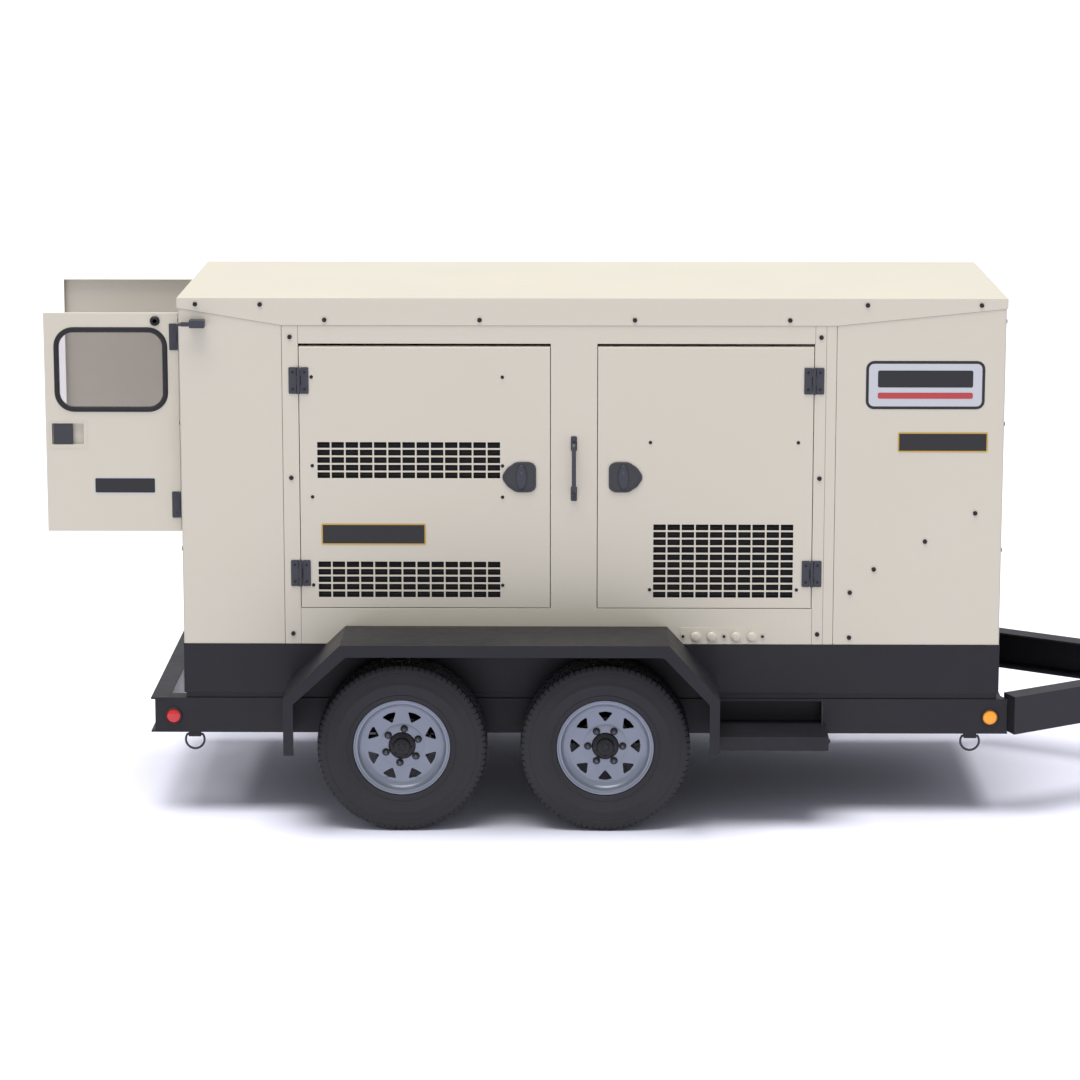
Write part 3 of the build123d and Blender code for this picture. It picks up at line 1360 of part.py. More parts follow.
with BuildPart() as muffler:
    muffler_x = (engine_x[0] - 300, engine_x[0] - 300 + muffler_length)
    tail_x = (muffler_x[1], muffler_x[1] + 280)
    rod_x(muffler_y, muffler_z, muffler_x, muffler_r)
    rod_x(muffler_y, muffler_z, tail_x, 45)
    can_x = (muffler_x[0] + sheet, muffler_x[1] - sheet)
    rod_x(muffler_y, muffler_z, can_x, muffler_r - sheet, Mode.SUBTRACT)
    rod_x(muffler_y, muffler_z, (muffler_x[1] - sheet, tail_x[1]), 45 - sheet, Mode.SUBTRACT)
    pipe_z = (manifold_flange_z, muffler_z - muffler_r + 8)
    rod_z(engine_x[0] + 300, muffler_y, pipe_z, 36)
save(muffler.part, "muffler")

with BuildPart() as battery:
    battery_x = (canopy_rear_x + 620, canopy_rear_x + 950)
    battery_top_z = canopy_bottom_z + 215
    battery_y = (-body_half + 110, -body_half + 280)
    block(battery_x, battery_y, (canopy_bottom_z, battery_top_z))
    for x in (battery_x[0] + 45, battery_x[1] - 45):
        rod_z(x, battery_y[1] - 40, (battery_top_z, battery_top_z + 20), 9)
save(battery.part, "battery")

# ---------------------------------------------------------------- control compartment
cabinet_face_x = rear_face_x + cabinet_rear_inset
estop_y = -cabinet_half_width + 250
with BuildPart() as control_cabinet:
    cabinet_y = (-cabinet_half_width, cabinet_half_width)
    cabinet_z = (canopy_bottom_z, rear_door_top_z - 12)
    block((cabinet_face_x, cabinet_face_x + cabinet_depth), cabinet_y, cabinet_z)
    inner_y = (cabinet_y[0] + sheet, cabinet_y[1] - sheet)
    inner_z = (cabinet_z[0] + sheet, cabinet_z[1] - sheet)
    inner_x = (cabinet_face_x + sheet, cabinet_face_x + cabinet_depth)
    block(inner_x, inner_y, inner_z, Mode.SUBTRACT)
    hole_x = (cabinet_face_x - 1, cabinet_face_x + sheet + 1)
    rod_x(estop_y, estop_z, hole_x, estop_shaft_r + running_gap, Mode.SUBTRACT)
save(control_cabinet.part, "control_cabinet")

panel_edge = -cabinet_half_width
pivot_x = cabinet_face_x - 12
breaker_y = panel_edge + 570
with BuildPart() as control_fascia:
    face_x = (cabinet_face_x - 12, cabinet_face_x)
    screen_x = (cabinet_face_x - 34, face_x[0])
    block(face_x, (panel_edge + 70, panel_edge + 450), (estop_z - 70, estop_z + 290))
    block(screen_x, (panel_edge + 140, panel_edge + 380), (estop_z + 90, estop_z + 240))
    rod_x(estop_y, estop_z, (face_x[0] - 1, face_x[1] + 1), estop_shaft_r + running_gap, Mode.SUBTRACT)
    breaker_x = (cabinet_face_x - 30, cabinet_face_x)
    block(breaker_x, (breaker_y - 80, breaker_y + 80), (breaker_z - 160, breaker_z + 210))
    pocket_x = (breaker_x[0] - 1, cabinet_face_x - 4)
    block(pocket_x, (breaker_y - 20, breaker_y + 20), (breaker_z - 60, breaker_z + 60), Mode.SUBTRACT)
    pin_y = (breaker_y - 30.5, breaker_y + 30.5)
    rod_y(pivot_x, breaker_z, pin_y, breaker_pin_r + running_gap, Mode.SUBTRACT)
    for row in range(2):
        for column in range(3):
            outlet_y = cabinet_half_width - 60 - column * 96
            rod_x(outlet_y, 1400 + row * 120, (cabinet_face_x - 26, cabinet_face_x), 40)
    strip_y = (cabinet_half_width - 292, cabinet_half_width - 20)
    block((cabinet_face_x - 8, cabinet_face_x), strip_y, (1590, 1700))
save(control_fascia.part, "control_fascia")

with BuildPart() as estop_button:
    head_x = (face_x[0] - estop_travel - 16, face_x[0] - estop_travel - 1)
    rod_x(estop_y, estop_z, head_x, estop_head_r)
    rod_x(estop_y, estop_z, (head_x[1], cabinet_face_x + 10), estop_shaft_r)
save(estop_button.part, "estop_button")

with BuildPart() as breaker_handle:
    rod_y(pivot_x, breaker_z, (breaker_y - 19.6, breaker_y + 19.6), 7)
    rod_y(pivot_x, breaker_z, (breaker_y - 30, breaker_y + 30), breaker_pin_r)
    lever = [
        (pivot_x - 2, breaker_z - 7),
        (pivot_x - 52, breaker_z + 24),
        (pivot_x - 44, breaker_z + 38),
        (pivot_x + 4, breaker_z + 6),
    ]
    prism_y(lever, (breaker_y - 14, breaker_y + 14))
save(breaker_handle.part, "breaker_handle")
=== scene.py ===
"""Looks of a towable diesel generator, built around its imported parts.

Metres, +X towards the tow eye, +Y to the left-hand side, +Z up, ground at Z = 0.
"""
import json
import logging
import math
from collections.abc import Callable, Iterable, Sequence
from dataclasses import dataclass, field
from enum import Enum
from functools import lru_cache
from typing import ClassVar

import bmesh
import bpy
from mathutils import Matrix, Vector
from mathutils.geometry import tessellate_polygon


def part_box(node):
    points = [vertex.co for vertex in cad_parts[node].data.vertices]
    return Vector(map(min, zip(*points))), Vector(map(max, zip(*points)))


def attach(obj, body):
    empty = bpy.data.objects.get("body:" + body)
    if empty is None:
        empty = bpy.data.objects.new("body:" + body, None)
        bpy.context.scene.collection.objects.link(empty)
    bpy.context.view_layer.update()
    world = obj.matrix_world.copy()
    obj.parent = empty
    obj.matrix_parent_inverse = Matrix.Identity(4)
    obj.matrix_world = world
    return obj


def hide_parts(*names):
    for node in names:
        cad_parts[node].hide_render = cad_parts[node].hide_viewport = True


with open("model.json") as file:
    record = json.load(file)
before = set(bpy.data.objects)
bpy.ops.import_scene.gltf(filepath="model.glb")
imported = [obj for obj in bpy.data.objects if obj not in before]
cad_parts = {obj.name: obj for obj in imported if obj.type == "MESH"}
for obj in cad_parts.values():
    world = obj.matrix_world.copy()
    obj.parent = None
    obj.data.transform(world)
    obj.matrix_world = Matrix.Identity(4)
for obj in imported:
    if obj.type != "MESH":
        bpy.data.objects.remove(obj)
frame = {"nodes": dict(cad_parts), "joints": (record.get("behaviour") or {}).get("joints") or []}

log = logging.getLogger("generator")
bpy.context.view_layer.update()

Span = tuple[float, float]
Spot = tuple[float, float]
Point = tuple[float, float, float]
Loop = list[Spot]

NODES: dict[str, bpy.types.Object] = frame["nodes"]
PLACES: dict[str, Point] = {joint["name"]: joint["pos_m"] for joint in frame["joints"]}
SKIN = 0.669


class Facing(Enum):
    """The axis that a flat outline is swept along."""

    X = "x"
    Y = "y"
    Z = "z"

    def place(self, u: float, v: float, w: float) -> Point:
        """Turn outline coordinates and a depth into a point."""
        return {"x": (w, u, v), "y": (u, w, v), "z": (u, v, w)}[self.value]


class Way(Enum):
    """A named choice that carries a sign."""

    @property
    def word(self) -> str:
        """The choice's name as node names use it."""
        return self.name.lower()


class Side(Way):
    """A side of the trailer, by its sign on Y."""

    RIGHT = -1
    LEFT = 1

    def across(self, inner: float, outer: float) -> Span:
        """Turn two distances off the centre-line into limits on Y."""
        low, high = sorted((self.value * inner, self.value * outer))
        return (low, high)


class Bay(Way):
    """Which of the two doors on a side, by the way its free edge points."""

    REAR = 1
    FRONT = -1


# ---------------------------------------------------------------- shader groups
COLOURED = ("Color", "Shade", "Dust")
Term = bpy.types.NodeSocket | float


class Group:
    """A shader node group with named inputs and outputs, built once."""

    def __init__(self, name: str, inputs: Sequence[str], outputs: Sequence[str]) -> None:
        """Open an empty group.

        Args:
            name: The group's name.
            inputs: Names of its inputs.
            outputs: Names of its outputs.
        """
        self.tree = bpy.data.node_groups.new(name, "ShaderNodeTree")
        for way, labels in (("INPUT", inputs), ("OUTPUT", outputs)):
            for label in labels:
                kind = "NodeSocketColor" if label in COLOURED else "NodeSocketFloat"
                self.tree.interface.new_socket(name=label, in_out=way, socket_type=kind)
        self.inputs = self.tree.nodes.new("NodeGroupInput").outputs
        self.outputs = self.tree.nodes.new("NodeGroupOutput").inputs

    def feed(self, end: bpy.types.NodeSocket, term: Term) -> None:
        """Link a socket to an input, or set the input to a number."""
        if isinstance(term, bpy.types.NodeSocket):
            self.tree.links.new(term, end)
        else:
            end.default_value = term

    def noise(self, scale: Term, detail: float, stretch: Point = (1, 1, 1)) -> bpy.types.NodeSocket:
        """Add noise over the piece's own coordinates.

        Args:
            scale: The noise scale.
            detail: Octaves of the noise.
            stretch: Scale of the coordinates on each axis.

        Returns:
            The noise's value socket.
        """
        place = self.tree.nodes.new("ShaderNodeTexCoord")
        mapping = self.tree.nodes.new("ShaderNodeMapping")
        mapping.inputs["Scale"].default_value = stretch
        texture = self.tree.nodes.new("ShaderNodeTexNoise")
        self.feed(mapping.inputs["Vector"], place.outputs["Object"])
        self.feed(texture.inputs["Vector"], mapping.outputs["Vector"])
        self.feed(texture.inputs["Detail"], detail)
        self.feed(texture.inputs["Scale"], scale)
        return texture.outputs["Fac"]

    def math(self, operation: str, *terms: Term, clamp: bool = False) -> bpy.types.NodeSocket:
        """Add a maths node.

        Args:
            operation: The node's operation.
            *terms: Its inputs.
            clamp: Whether the result stays between 0 and 1.

        Returns:
            The result's socket.
        """
        made = self.tree.nodes.new("ShaderNodeMath")
        made.operation, made.use_clamp = operation, clamp
        for end, term in zip(made.inputs, terms):
            self.feed(end, term)
        return made.outputs[0]

    def mix(self, kind: str, share: Term, first: Term, second: Term) -> bpy.types.NodeSocket:
        """Mix two values of a kind, RGBA or FLOAT, by a share, and return the result's socket."""
        made = self.tree.nodes.new("ShaderNodeMix")
        made.data_type = kind
        for label, term in (("Factor", share), ("A", first), ("B", second)):
            self.feed(made.inputs[label], term)
        return made.outputs["Result"]


@lru_cache(maxsize=None)
def mottle_group() -> bpy.types.NodeTree:
    """Make soft colour and gloss variation for any even coat.

    Returns:
        A group with Color and Roughness outputs.
    """
    group = Group("Mottle", ("Color", "Shade", "Roughness", "Scale", "Amount"), ("Color", "Roughness"))
    inputs, broad_share, contrast, swing = group.inputs, 0.65, 2.4, 0.14
    broad = group.noise(inputs["Scale"], 3.0)
    fine = group.noise(group.math("MULTIPLY", inputs["Scale"], 9.0), 5.0)
    fine_part = group.math("MULTIPLY", fine, 1 - broad_share)
    blend = group.math("MULTIPLY_ADD", broad, broad_share, fine_part)
    spread = group.math("MULTIPLY_ADD", blend, contrast, (1 - contrast) / 2, clamp=True)
    share = group.math("MULTIPLY", spread, inputs["Amount"], clamp=True)
    group.feed(group.outputs["Color"], group.mix("RGBA", share, inputs["Color"], inputs["Shade"]))
    gloss = group.math("MULTIPLY_ADD", spread, swing, inputs["Roughness"])
    group.feed(group.outputs["Roughness"], group.math("SUBTRACT", gloss, swing / 2))
    return group.tree


@lru_cache(maxsize=None)
def dust_group() -> bpy.types.NodeTree:
    """Make road dust that settles low down.

    Returns:
        A group with Color and Roughness outputs.
    """
    group = Group("Dust", ("Color", "Dust", "Roughness", "Amount", "Reach"), ("Color", "Roughness"))
    inputs, dulling = group.inputs, 0.4
    place = group.tree.nodes.new("ShaderNodeTexCoord")
    split = group.tree.nodes.new("ShaderNodeSeparateXYZ")
    group.feed(split.inputs[0], place.outputs["Object"])
    low = group.math("SUBTRACT", 1.0, group.math("DIVIDE", split.outputs["Z"], inputs["Reach"]), clamp=True)
    patch = group.math("MULTIPLY_ADD", group.noise(7.0, 6.0), 1.6, -0.3, clamp=True)
    speck = group.math("MULTIPLY_ADD", group.noise(90.0, 2.0), 1.2, 0.2, clamp=True)
    cover = group.math("MULTIPLY", group.math("MULTIPLY", low, patch), speck)
    share = group.math("MULTIPLY", cover, inputs["Amount"], clamp=True)
    group.feed(group.outputs["Color"], group.mix("RGBA", share, inputs["Color"], inputs["Dust"]))
    rough = group.math("MULTIPLY_ADD", share, dulling, inputs["Roughness"], clamp=True)
    group.feed(group.outputs["Roughness"], rough)
    return group.tree


@lru_cache(maxsize=None)
def grain_group() -> bpy.types.NodeTree:
    """Make a fine surface height: paint peel, casting grain or brushed lines.

    Returns:
        A group with one Height output.
    """
    group = Group("Grain", ("Scale", "Brush"), ("Height",))
    even = group.noise(group.inputs["Scale"], 2.0)
    brushed = group.noise(group.inputs["Scale"], 4.0, (0.04, 1.0, 1.0))
    group.feed(group.outputs["Height"], group.mix("FLOAT", group.inputs["Brush"], even, brushed))
    return group.tree


# ---------------------------------------------------------------- finishes
@dataclass(frozen=True)
class Finish:
    """One coat or bare material, with everything its shader needs."""

    name: str
    colour: Point
    shade: Point
    roughness: float
    slot: str = "fascia_plastic"
    metallic: float = 0.0
    mottle: float = 0.35
    mottle_scale: float = 2.0
    grain_scale: float = 600.0
    grain_depth: float = 0.02
    brush: float = 0.0
    dust: float = 0.0
    dust_reach: float = 1.2
    coat: float = 0.0
    specular: float = 0.5
    transmission: float = 0.0
    glow: float = 0.0


DUST_COLOUR = (0.30, 0.27, 0.23, 1.0)
GRAIN_DISTANCE = 0.0015
COAT_ROUGHNESS = 0.12


def put_group(tree: bpy.types.NodeTree, group: bpy.types.NodeTree, **values: object) -> bpy.types.Node:
    """Place a group in a material.

    Args:
        tree: The material's tree.
        group: The group to place.
        **values: A value for each of its inputs.

    Returns:
        The group's node.
    """
    node = tree.nodes.new("ShaderNodeGroup")
    node.node_tree = group
    for label, value in values.items():
        node.inputs[label].default_value = value
    return node


@lru_cache(maxsize=None)
def make_material(finish: Finish) -> bpy.types.Material:
    """Build a finish's node tree.

    Args:
        finish: The finish to build.

    Returns:
        The finished material.
    """
    material = bpy.data.materials.new(finish.name)
    material.use_nodes = True
    tree = material.node_tree
    shader = tree.nodes["Principled BSDF"]
    last = put_group(
        tree, mottle_group(), Color=(*finish.colour, 1.0), Shade=(*finish.shade, 1.0),
        Roughness=finish.roughness, Scale=finish.mottle_scale, Amount=finish.mottle,
    )
    if finish.dust > 0:
        even = last
        last = put_group(tree, dust_group(), Dust=DUST_COLOUR, Amount=finish.dust, Reach=finish.dust_reach)
        for label in ("Color", "Roughness"):
            tree.links.new(even.outputs[label], last.inputs[label])
    if finish.mottle > 0:
        tree.links.new(last.outputs["Color"], shader.inputs["Base Color"])
        tree.links.new(last.outputs["Roughness"], shader.inputs["Roughness"])
    else:
        shader.inputs["Base Color"].default_value = (*finish.colour, 1.0)
        shader.inputs["Roughness"].default_value = finish.roughness
    grain = put_group(tree, grain_group(), Scale=finish.grain_scale, Brush=finish.brush)
    bump = tree.nodes.new("ShaderNodeBump")
    bump.inputs["Strength"].default_value = min(1.0, finish.grain_depth * 4)
    bump.inputs["Distance"].default_value = GRAIN_DISTANCE
    tree.links.new(grain.outputs["Height"], bump.inputs["Height"])
    tree.links.new(bump.outputs["Normal"], shader.inputs["Normal"])
    shader.inputs["Metallic"].default_value = finish.metallic
    shader.inputs["Coat Weight"].default_value = finish.coat
    shader.inputs["Coat Roughness"].default_value = COAT_ROUGHNESS
    shader.inputs["Specular IOR Level"].default_value = finish.specular
    shader.inputs["Transmission Weight"].default_value = finish.transmission
    if finish.glow > 0:
        tree.links.new(last.outputs["Color"], shader.inputs["Emission Color"])
        shader.inputs["Emission Strength"].default_value = finish.glow
    return material


class Coat(Enum):
    """Every finish on the machine."""

    CREAM = Finish(
        "canopy_cream_paint", (0.578, 0.536, 0.436), (0.558, 0.516, 0.416), 0.38, "canopy_cream",
        coat=0.12, dust=0.05,
    )
    LINE = Finish("joint_line", (0.16, 0.15, 0.135), (0.14, 0.13, 0.12), 0.7, "canopy_cream")
    CHARCOAL = Finish(
        "frame_charcoal_paint", (0.0105, 0.0105, 0.0138), (0.0145, 0.0142, 0.0172), 0.40,
        dust=0.03, specular=0.27,
    )
    SILVER = Finish(
        "wheel_silver_paint", (0.215, 0.236, 0.290), (0.192, 0.212, 0.262), 0.34, "wheel_silver",
        metallic=0.25, coat=0.15, dust=0.04,
    )
    TYRE = Finish(
        "tyre_rubber", (0.024, 0.024, 0.027), (0.031, 0.0305, 0.033), 0.72, "tyre_rubber",
        mottle_scale=9.0, grain_scale=380.0, grain_depth=0.07, dust=0.05, dust_reach=0.3, specular=0.3,
    )
    SLATE = Finish(
        "hinge_slate_powder", (0.030, 0.031, 0.041), (0.040, 0.041, 0.053), 0.46, "hinge_slate",
        grain_scale=900.0,
    )
    BLACK = Finish(
        "hardware_black", (0.008, 0.008, 0.009), (0.013, 0.013, 0.015), 0.42, "latch_black",
        specular=0.32,
    )
    BLACK_PLASTIC = Finish(
        "moulded_black", (0.024, 0.024, 0.029), (0.032, 0.032, 0.038), 0.36, "latch_black",
        grain_scale=1200.0,
    )
    STEEL = Finish(
        "zinc_plated_steel", (0.48, 0.48, 0.49), (0.36, 0.36, 0.38), 0.34, "plated_steel",
        metallic=1.0, brush=0.7, dust=0.06,
    )
    DARK_STEEL = Finish(
        "oiled_spring_steel", (0.035, 0.035, 0.038), (0.055, 0.048, 0.042), 0.5, metallic=0.5, dust=0.1
    )
    RING_STEEL = Finish(
        "ring_blackened_steel", (0.035, 0.038, 0.045), (0.06, 0.064, 0.072), 0.34, metallic=0.6
    )
    NUT_STEEL = Finish(
        "nut_grey_steel", (0.075, 0.079, 0.090), (0.055, 0.058, 0.068), 0.42, "plated_steel",
        metallic=0.5,
    )
    RED_LENS = Finish(
        "red_lens", (0.52, 0.012, 0.014), (0.44, 0.008, 0.010), 0.2, "lens_red", coat=0.4, glow=0.10
    )
    AMBER_LENS = Finish(
        "amber_lens", (0.90, 0.33, 0.012), (0.82, 0.27, 0.008), 0.2, "lens_amber", coat=0.4, glow=0.14
    )
    SEAL = Finish(
        "seal_rubber", (0.013, 0.013, 0.0145), (0.021, 0.021, 0.0235), 0.62, "seal_rubber",
        grain_depth=0.05, specular=0.35,
    )
    GLASS = Finish(
        "tinted_window", (0.55, 0.52, 0.487), (0.55, 0.52, 0.487), 0.0,
        mottle=0.0, grain_depth=0.0, transmission=0.95,
    )
    FOAM = Finish(
        "sound_foam", (0.012, 0.012, 0.014), (0.022, 0.022, 0.024), 0.92, "seal_rubber",
        grain_scale=160.0, grain_depth=0.2,
    )
    CASTING = Finish(
        "engine_casting", (0.075, 0.085, 0.10), (0.05, 0.055, 0.065), 0.55, "engine_casting",
        metallic=0.2, grain_scale=260.0, grain_depth=0.12, mottle_scale=6.0,
    )
    ALTERNATOR = Finish(
        "alternator_enamel", (0.055, 0.06, 0.07), (0.08, 0.085, 0.095), 0.42, "alternator_paint",
        mottle_scale=5.0,
    )
    HOT_STEEL = Finish(
        "heat_tinted_steel", (0.32, 0.26, 0.21), (0.20, 0.19, 0.22), 0.42,
        metallic=0.9, mottle_scale=4.0, mottle=0.8,
    )
    FINS = Finish(
        "radiator_fins", (0.26, 0.27, 0.28), (0.16, 0.165, 0.17), 0.5,
        metallic=0.8, brush=0.9, grain_scale=500.0, grain_depth=0.2,
    )
    CABINET = Finish("cabinet_grey", (0.33, 0.335, 0.34), (0.29, 0.295, 0.30), 0.45)
    FASCIA = Finish(
        "fascia_charcoal", (0.030, 0.031, 0.034), (0.040, 0.041, 0.045), 0.5, grain_scale=1500.0
    )
    SCREEN = Finish(
        "display_glass", (0.015, 0.05, 0.06), (0.02, 0.065, 0.075), 0.08, coat=0.8, glow=0.4
    )
    BUTTON_RED = Finish("button_red", (0.60, 0.015, 0.015), (0.50, 0.01, 0.01), 0.25, coat=0.4)
    GREEN = Finish("lamp_green", (0.03, 0.30, 0.07), (0.02, 0.24, 0.05), 0.25, coat=0.4)
    FILTER = Finish(
        "filter_can_white", (0.42, 0.42, 0.41), (0.36, 0.36, 0.35), 0.32, "engine_casting", coat=0.3
    )
    YELLOW = Finish("label_yellow", (0.78, 0.52, 0.03), (0.72, 0.46, 0.02), 0.4)
    GOLD = Finish("plate_gold_edge", (0.52, 0.33, 0.06), (0.46, 0.28, 0.05), 0.4, metallic=0.2)
    PLATE_DARK = Finish(
        "plate_charcoal", (0.012, 0.012, 0.0135), (0.015, 0.015, 0.017), 0.4, coat=0.1, specular=0.35
    )
    PLATE_PALE = Finish("plate_pale_grey", (0.50, 0.51, 0.53), (0.46, 0.47, 0.49), 0.36, coat=0.3)
    PLATE_RED = Finish("plate_brick_red", (0.42, 0.03, 0.03), (0.36, 0.022, 0.022), 0.38, coat=0.3)
    FLOOR = Finish(
        "studio_floor", (0.76, 0.76, 0.86), (0.75, 0.75, 0.85), 0.9, grain_depth=0.0, specular=0.05
    )

    @property
    def material(self) -> bpy.types.Material:
        """The material of this finish."""
        return make_material(self.value)


# ---------------------------------------------------------------- mesh making
BOX_FACES = ((0, 1, 3, 2), (4, 6, 7, 5), (0, 4, 5, 1), (2, 3, 7, 6), (0, 2, 6, 4), (1, 5, 7, 3))
LONGEST_CUT = 0.48


def even_angles(steps: int, turn: float = 0.0) -> list[float]:
    """Return angles spread evenly round a circle, in radians, from a start in degrees."""
    return [math.radians(turn) + 2 * math.pi * index / steps for index in range(steps)]


def circle_loop(centre: Spot, radius: float, steps: int, turn: float = 0.0) -> Loop:
    """Return a circle's outline, its first corner turned by some degrees."""
    angles = even_angles(steps, turn)
    return [(centre[0] + radius * math.cos(angle), centre[1] + radius * math.sin(angle)) for angle in angles]


def rounded_corners(outline: Loop, radius: float, steps: int = 5) -> Loop:
    """Round each corner of an outline with an arc.

    Args:
        outline: Sharp corners, in order.
        radius: Radius of each arc, cut down where a side is short.
        steps: Spans in each arc.

    Returns:
        The rounded outline.
    """
    rounded: Loop = []
    for index, corner in enumerate(outline):
        here = Vector(corner)
        before = Vector(outline[index - 1]) - here
        after = Vector(outline[(index + 1) % len(outline)]) - here
        half = before.angle(after) / 2
        shortest = min(before.length, after.length) * LONGEST_CUT
        reach = min(radius / math.tan(half), shortest)
        arc = reach * math.tan(half)
        middle = here + (before.normalized() + after.normalized()).normalized() * (arc / math.sin(half))
        start = here + before.normalized() * reach - middle
        sweep = start.angle_signed(here + after.normalized() * reach - middle)
        for step in range(steps + 1):
            angle = math.atan2(start.y, start.x) - sweep * step / steps
            rounded.append((middle.x + arc * math.cos(angle), middle.y + arc * math.sin(angle)))
    return rounded


def rounded_rectangle(centre: Spot, width: float, height: float, radius: float, steps: int = 5) -> Loop:
    """Return a rectangle's outline with rounded corners."""
    left, right = centre[0] - width / 2, centre[0] + width / 2
    low, high = centre[1] - height / 2, centre[1] + height / 2
    return rounded_corners([(left, low), (right, low), (right, high), (left, high)], radius, steps)


class Shape:
    """A mesh under construction, in the frame's own axes."""

    def __init__(self) -> None:
        """Start with no geometry."""
        self.mesh = bmesh.new()

    def box(self, x: Span, y: Span, z: Span) -> None:
        """Add a closed block between limits."""
        corners = [self.mesh.verts.new((a, b, c)) for a in sorted(x) for b in sorted(y) for c in sorted(z)]
        for face in BOX_FACES:
            self.mesh.faces.new([corners[index] for index in face])

    def sweep(self, outline: Loop, facing: Facing, depth: Span, holes: Sequence[Loop] = ()) -> None:
        """Add a flat outline with holes, given a thickness.

        Args:
            outline: Outer corners.
            facing: Axis that the outline is swept along.
            depth: Limits along that axis.
            holes: Outlines of openings.
        """
        loops = [outline, *holes]
        near, far = (
            [self.mesh.verts.new(facing.place(u, v, end)) for loop in loops for u, v in loop]
            for end in sorted(depth)
        )
        for triangle in tessellate_polygon([[Vector((u, v, 0)) for u, v in loop] for loop in loops]):
            if len(set(triangle)) == 3:
                self.mesh.faces.new([near[index] for index in triangle])
                self.mesh.faces.new([far[index] for index in reversed(triangle)])
        start = 0
        for loop in loops:
            for index in range(len(loop)):
                a, b = start + index, start + (index + 1) % len(loop)
                self.mesh.faces.new([near[a], near[b], far[b], far[a]])
            start += len(loop)

    def wrap(self, rings: Iterable[Sequence[Point]], closed: bool = False, capped: bool = False) -> None:
        """Join rings of points with faces.

        Args:
            rings: Rings in order. One point alone is a tip.
            closed: Whether the last ring joins the first one.
            capped: Whether both end rings are filled.
        """
        made = [[self.mesh.verts.new(spot) for spot in ring] for ring in rings]
        count = max(len(ring) for ring in made)
        for low, high in zip(made, made[1:] + made[:1] if closed else made[1:]):
            for index in range(count):
                after = (index + 1) % count
                ends = ((low, index), (low, after), (high, after), (high, index))
                corners = list(dict.fromkeys(ring[place % len(ring)] for ring, place in ends))
                if len(corners) > 2:
                    self.mesh.faces.new(corners)
        if capped:
            self.mesh.faces.new(made[0])
            self.mesh.faces.new(made[-1])

    def turn(
        self,
        profile: Sequence[Spot],
        facing: Facing,
        centre: Spot,
        steps: int = 48,
        angles: Sequence[float] = (),
        dent: Callable[[int, int], float] = lambda row, column: 0.0,
        closed: bool = False,
    ) -> None:
        """Add a turned piece, whose radius may vary round it.

        Args:
            profile: Radius and depth of each ring.
            facing: Axis of the turning.
            centre: Where the axis stands on the other two axes.
            steps: Even facets round the piece, where no angles are given.
            angles: Angle of each facet edge, in radians.
            dent: How much the radius drops at a ring and an angle, by their indices.
            closed: Whether the last ring joins the first one.
        """
        angles = angles or even_angles(steps)
        rings = []
        for row, (radius, depth) in enumerate(profile):
            reaches = [radius - dent(row, column) for column in range(len(angles))] if radius else [0.0]
            rings.append([
                facing.place(centre[0] + reach * math.cos(angle), centre[1] + reach * math.sin(angle), depth)
                for reach, angle in zip(reaches, angles)
            ])
        self.wrap(rings, closed)

    def rod(self, facing: Facing, centre: Spot, depth: Span, radius: float, steps: int = 32) -> None:
        """Add a closed cylinder."""
        start, end = depth
        self.turn([(0, start), (radius, start), (radius, end), (0, end)], facing, centre, steps)

    def lattice(self, x: Sequence[float], z: Sequence[float], y: Span, is_open: Callable[..., bool]) -> None:
        """Add a plate that faces Y, cut by a lattice of openings.

        Args:
            x: Every cut line along X, in order.
            z: Every cut line along Z, in order.
            y: The plate's two faces.
            is_open: Whether the cell around a middle (x, z) is an opening.
        """
        cells = [(i, k) for i in range(len(x) - 1) for k in range(len(z) - 1)]
        solid = {(i, k) for i, k in cells if not is_open((x[i] + x[i + 1]) / 2, (z[k] + z[k + 1]) / 2)}

        @lru_cache(maxsize=None)
        def vert(i: int, k: int, face: int) -> bmesh.types.BMVert:
            """Return the shared vertex at a lattice corner."""
            return self.mesh.verts.new((x[i], y[face], z[k]))

        for i, k in sorted(solid):
            ring = [(i, k), (i + 1, k), (i + 1, k + 1), (i, k + 1)]
            self.mesh.faces.new([vert(*corner, 0) for corner in ring])
            self.mesh.faces.new([vert(*corner, 1) for corner in reversed(ring)])
            for index, cell in enumerate(((i, k - 1), (i + 1, k), (i, k + 1), (i - 1, k))):
                if cell not in solid:
                    a, b = ring[index], ring[(index + 1) % 4]
                    self.mesh.faces.new([vert(*a, 1), vert(*b, 1), vert(*b, 0), vert(*a, 0)])

    def finish(
        self,
        name: str,
        coat: Coat,
        body: str = "chassis",
        bevel: float = 0.0,
        smooth: float = 35.0,
        slot: str = "",
        stands_for: Sequence[str] = (),
    ) -> None:
        """Close the mesh into a named piece that rides on a body.

        Args:
            name: The piece's name.
            coat: Its finish.
            body: The body that it moves with.
            bevel: Width of the rounding on its edges, or 0 for none.
            smooth: Edges flatter than this many degrees are shaded smooth.
            slot: Not used.
            stands_for: Parts that it takes the place of.
        """
        bmesh.ops.recalc_face_normals(self.mesh, faces=self.mesh.faces)
        data = bpy.data.meshes.new(name)
        self.mesh.to_mesh(data)
        self.mesh.free()
        data.shade_smooth()
        data.set_sharp_from_angle(angle=math.radians(smooth))
        data.materials.append(coat.material)
        piece = bpy.data.objects.new(name, data)
        bpy.context.scene.collection.objects.link(piece)
        if bevel > 0:
            soften(piece, bevel)
        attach(piece, body)
        if stands_for:
            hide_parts(*stands_for)
        log.info("made %s", name)


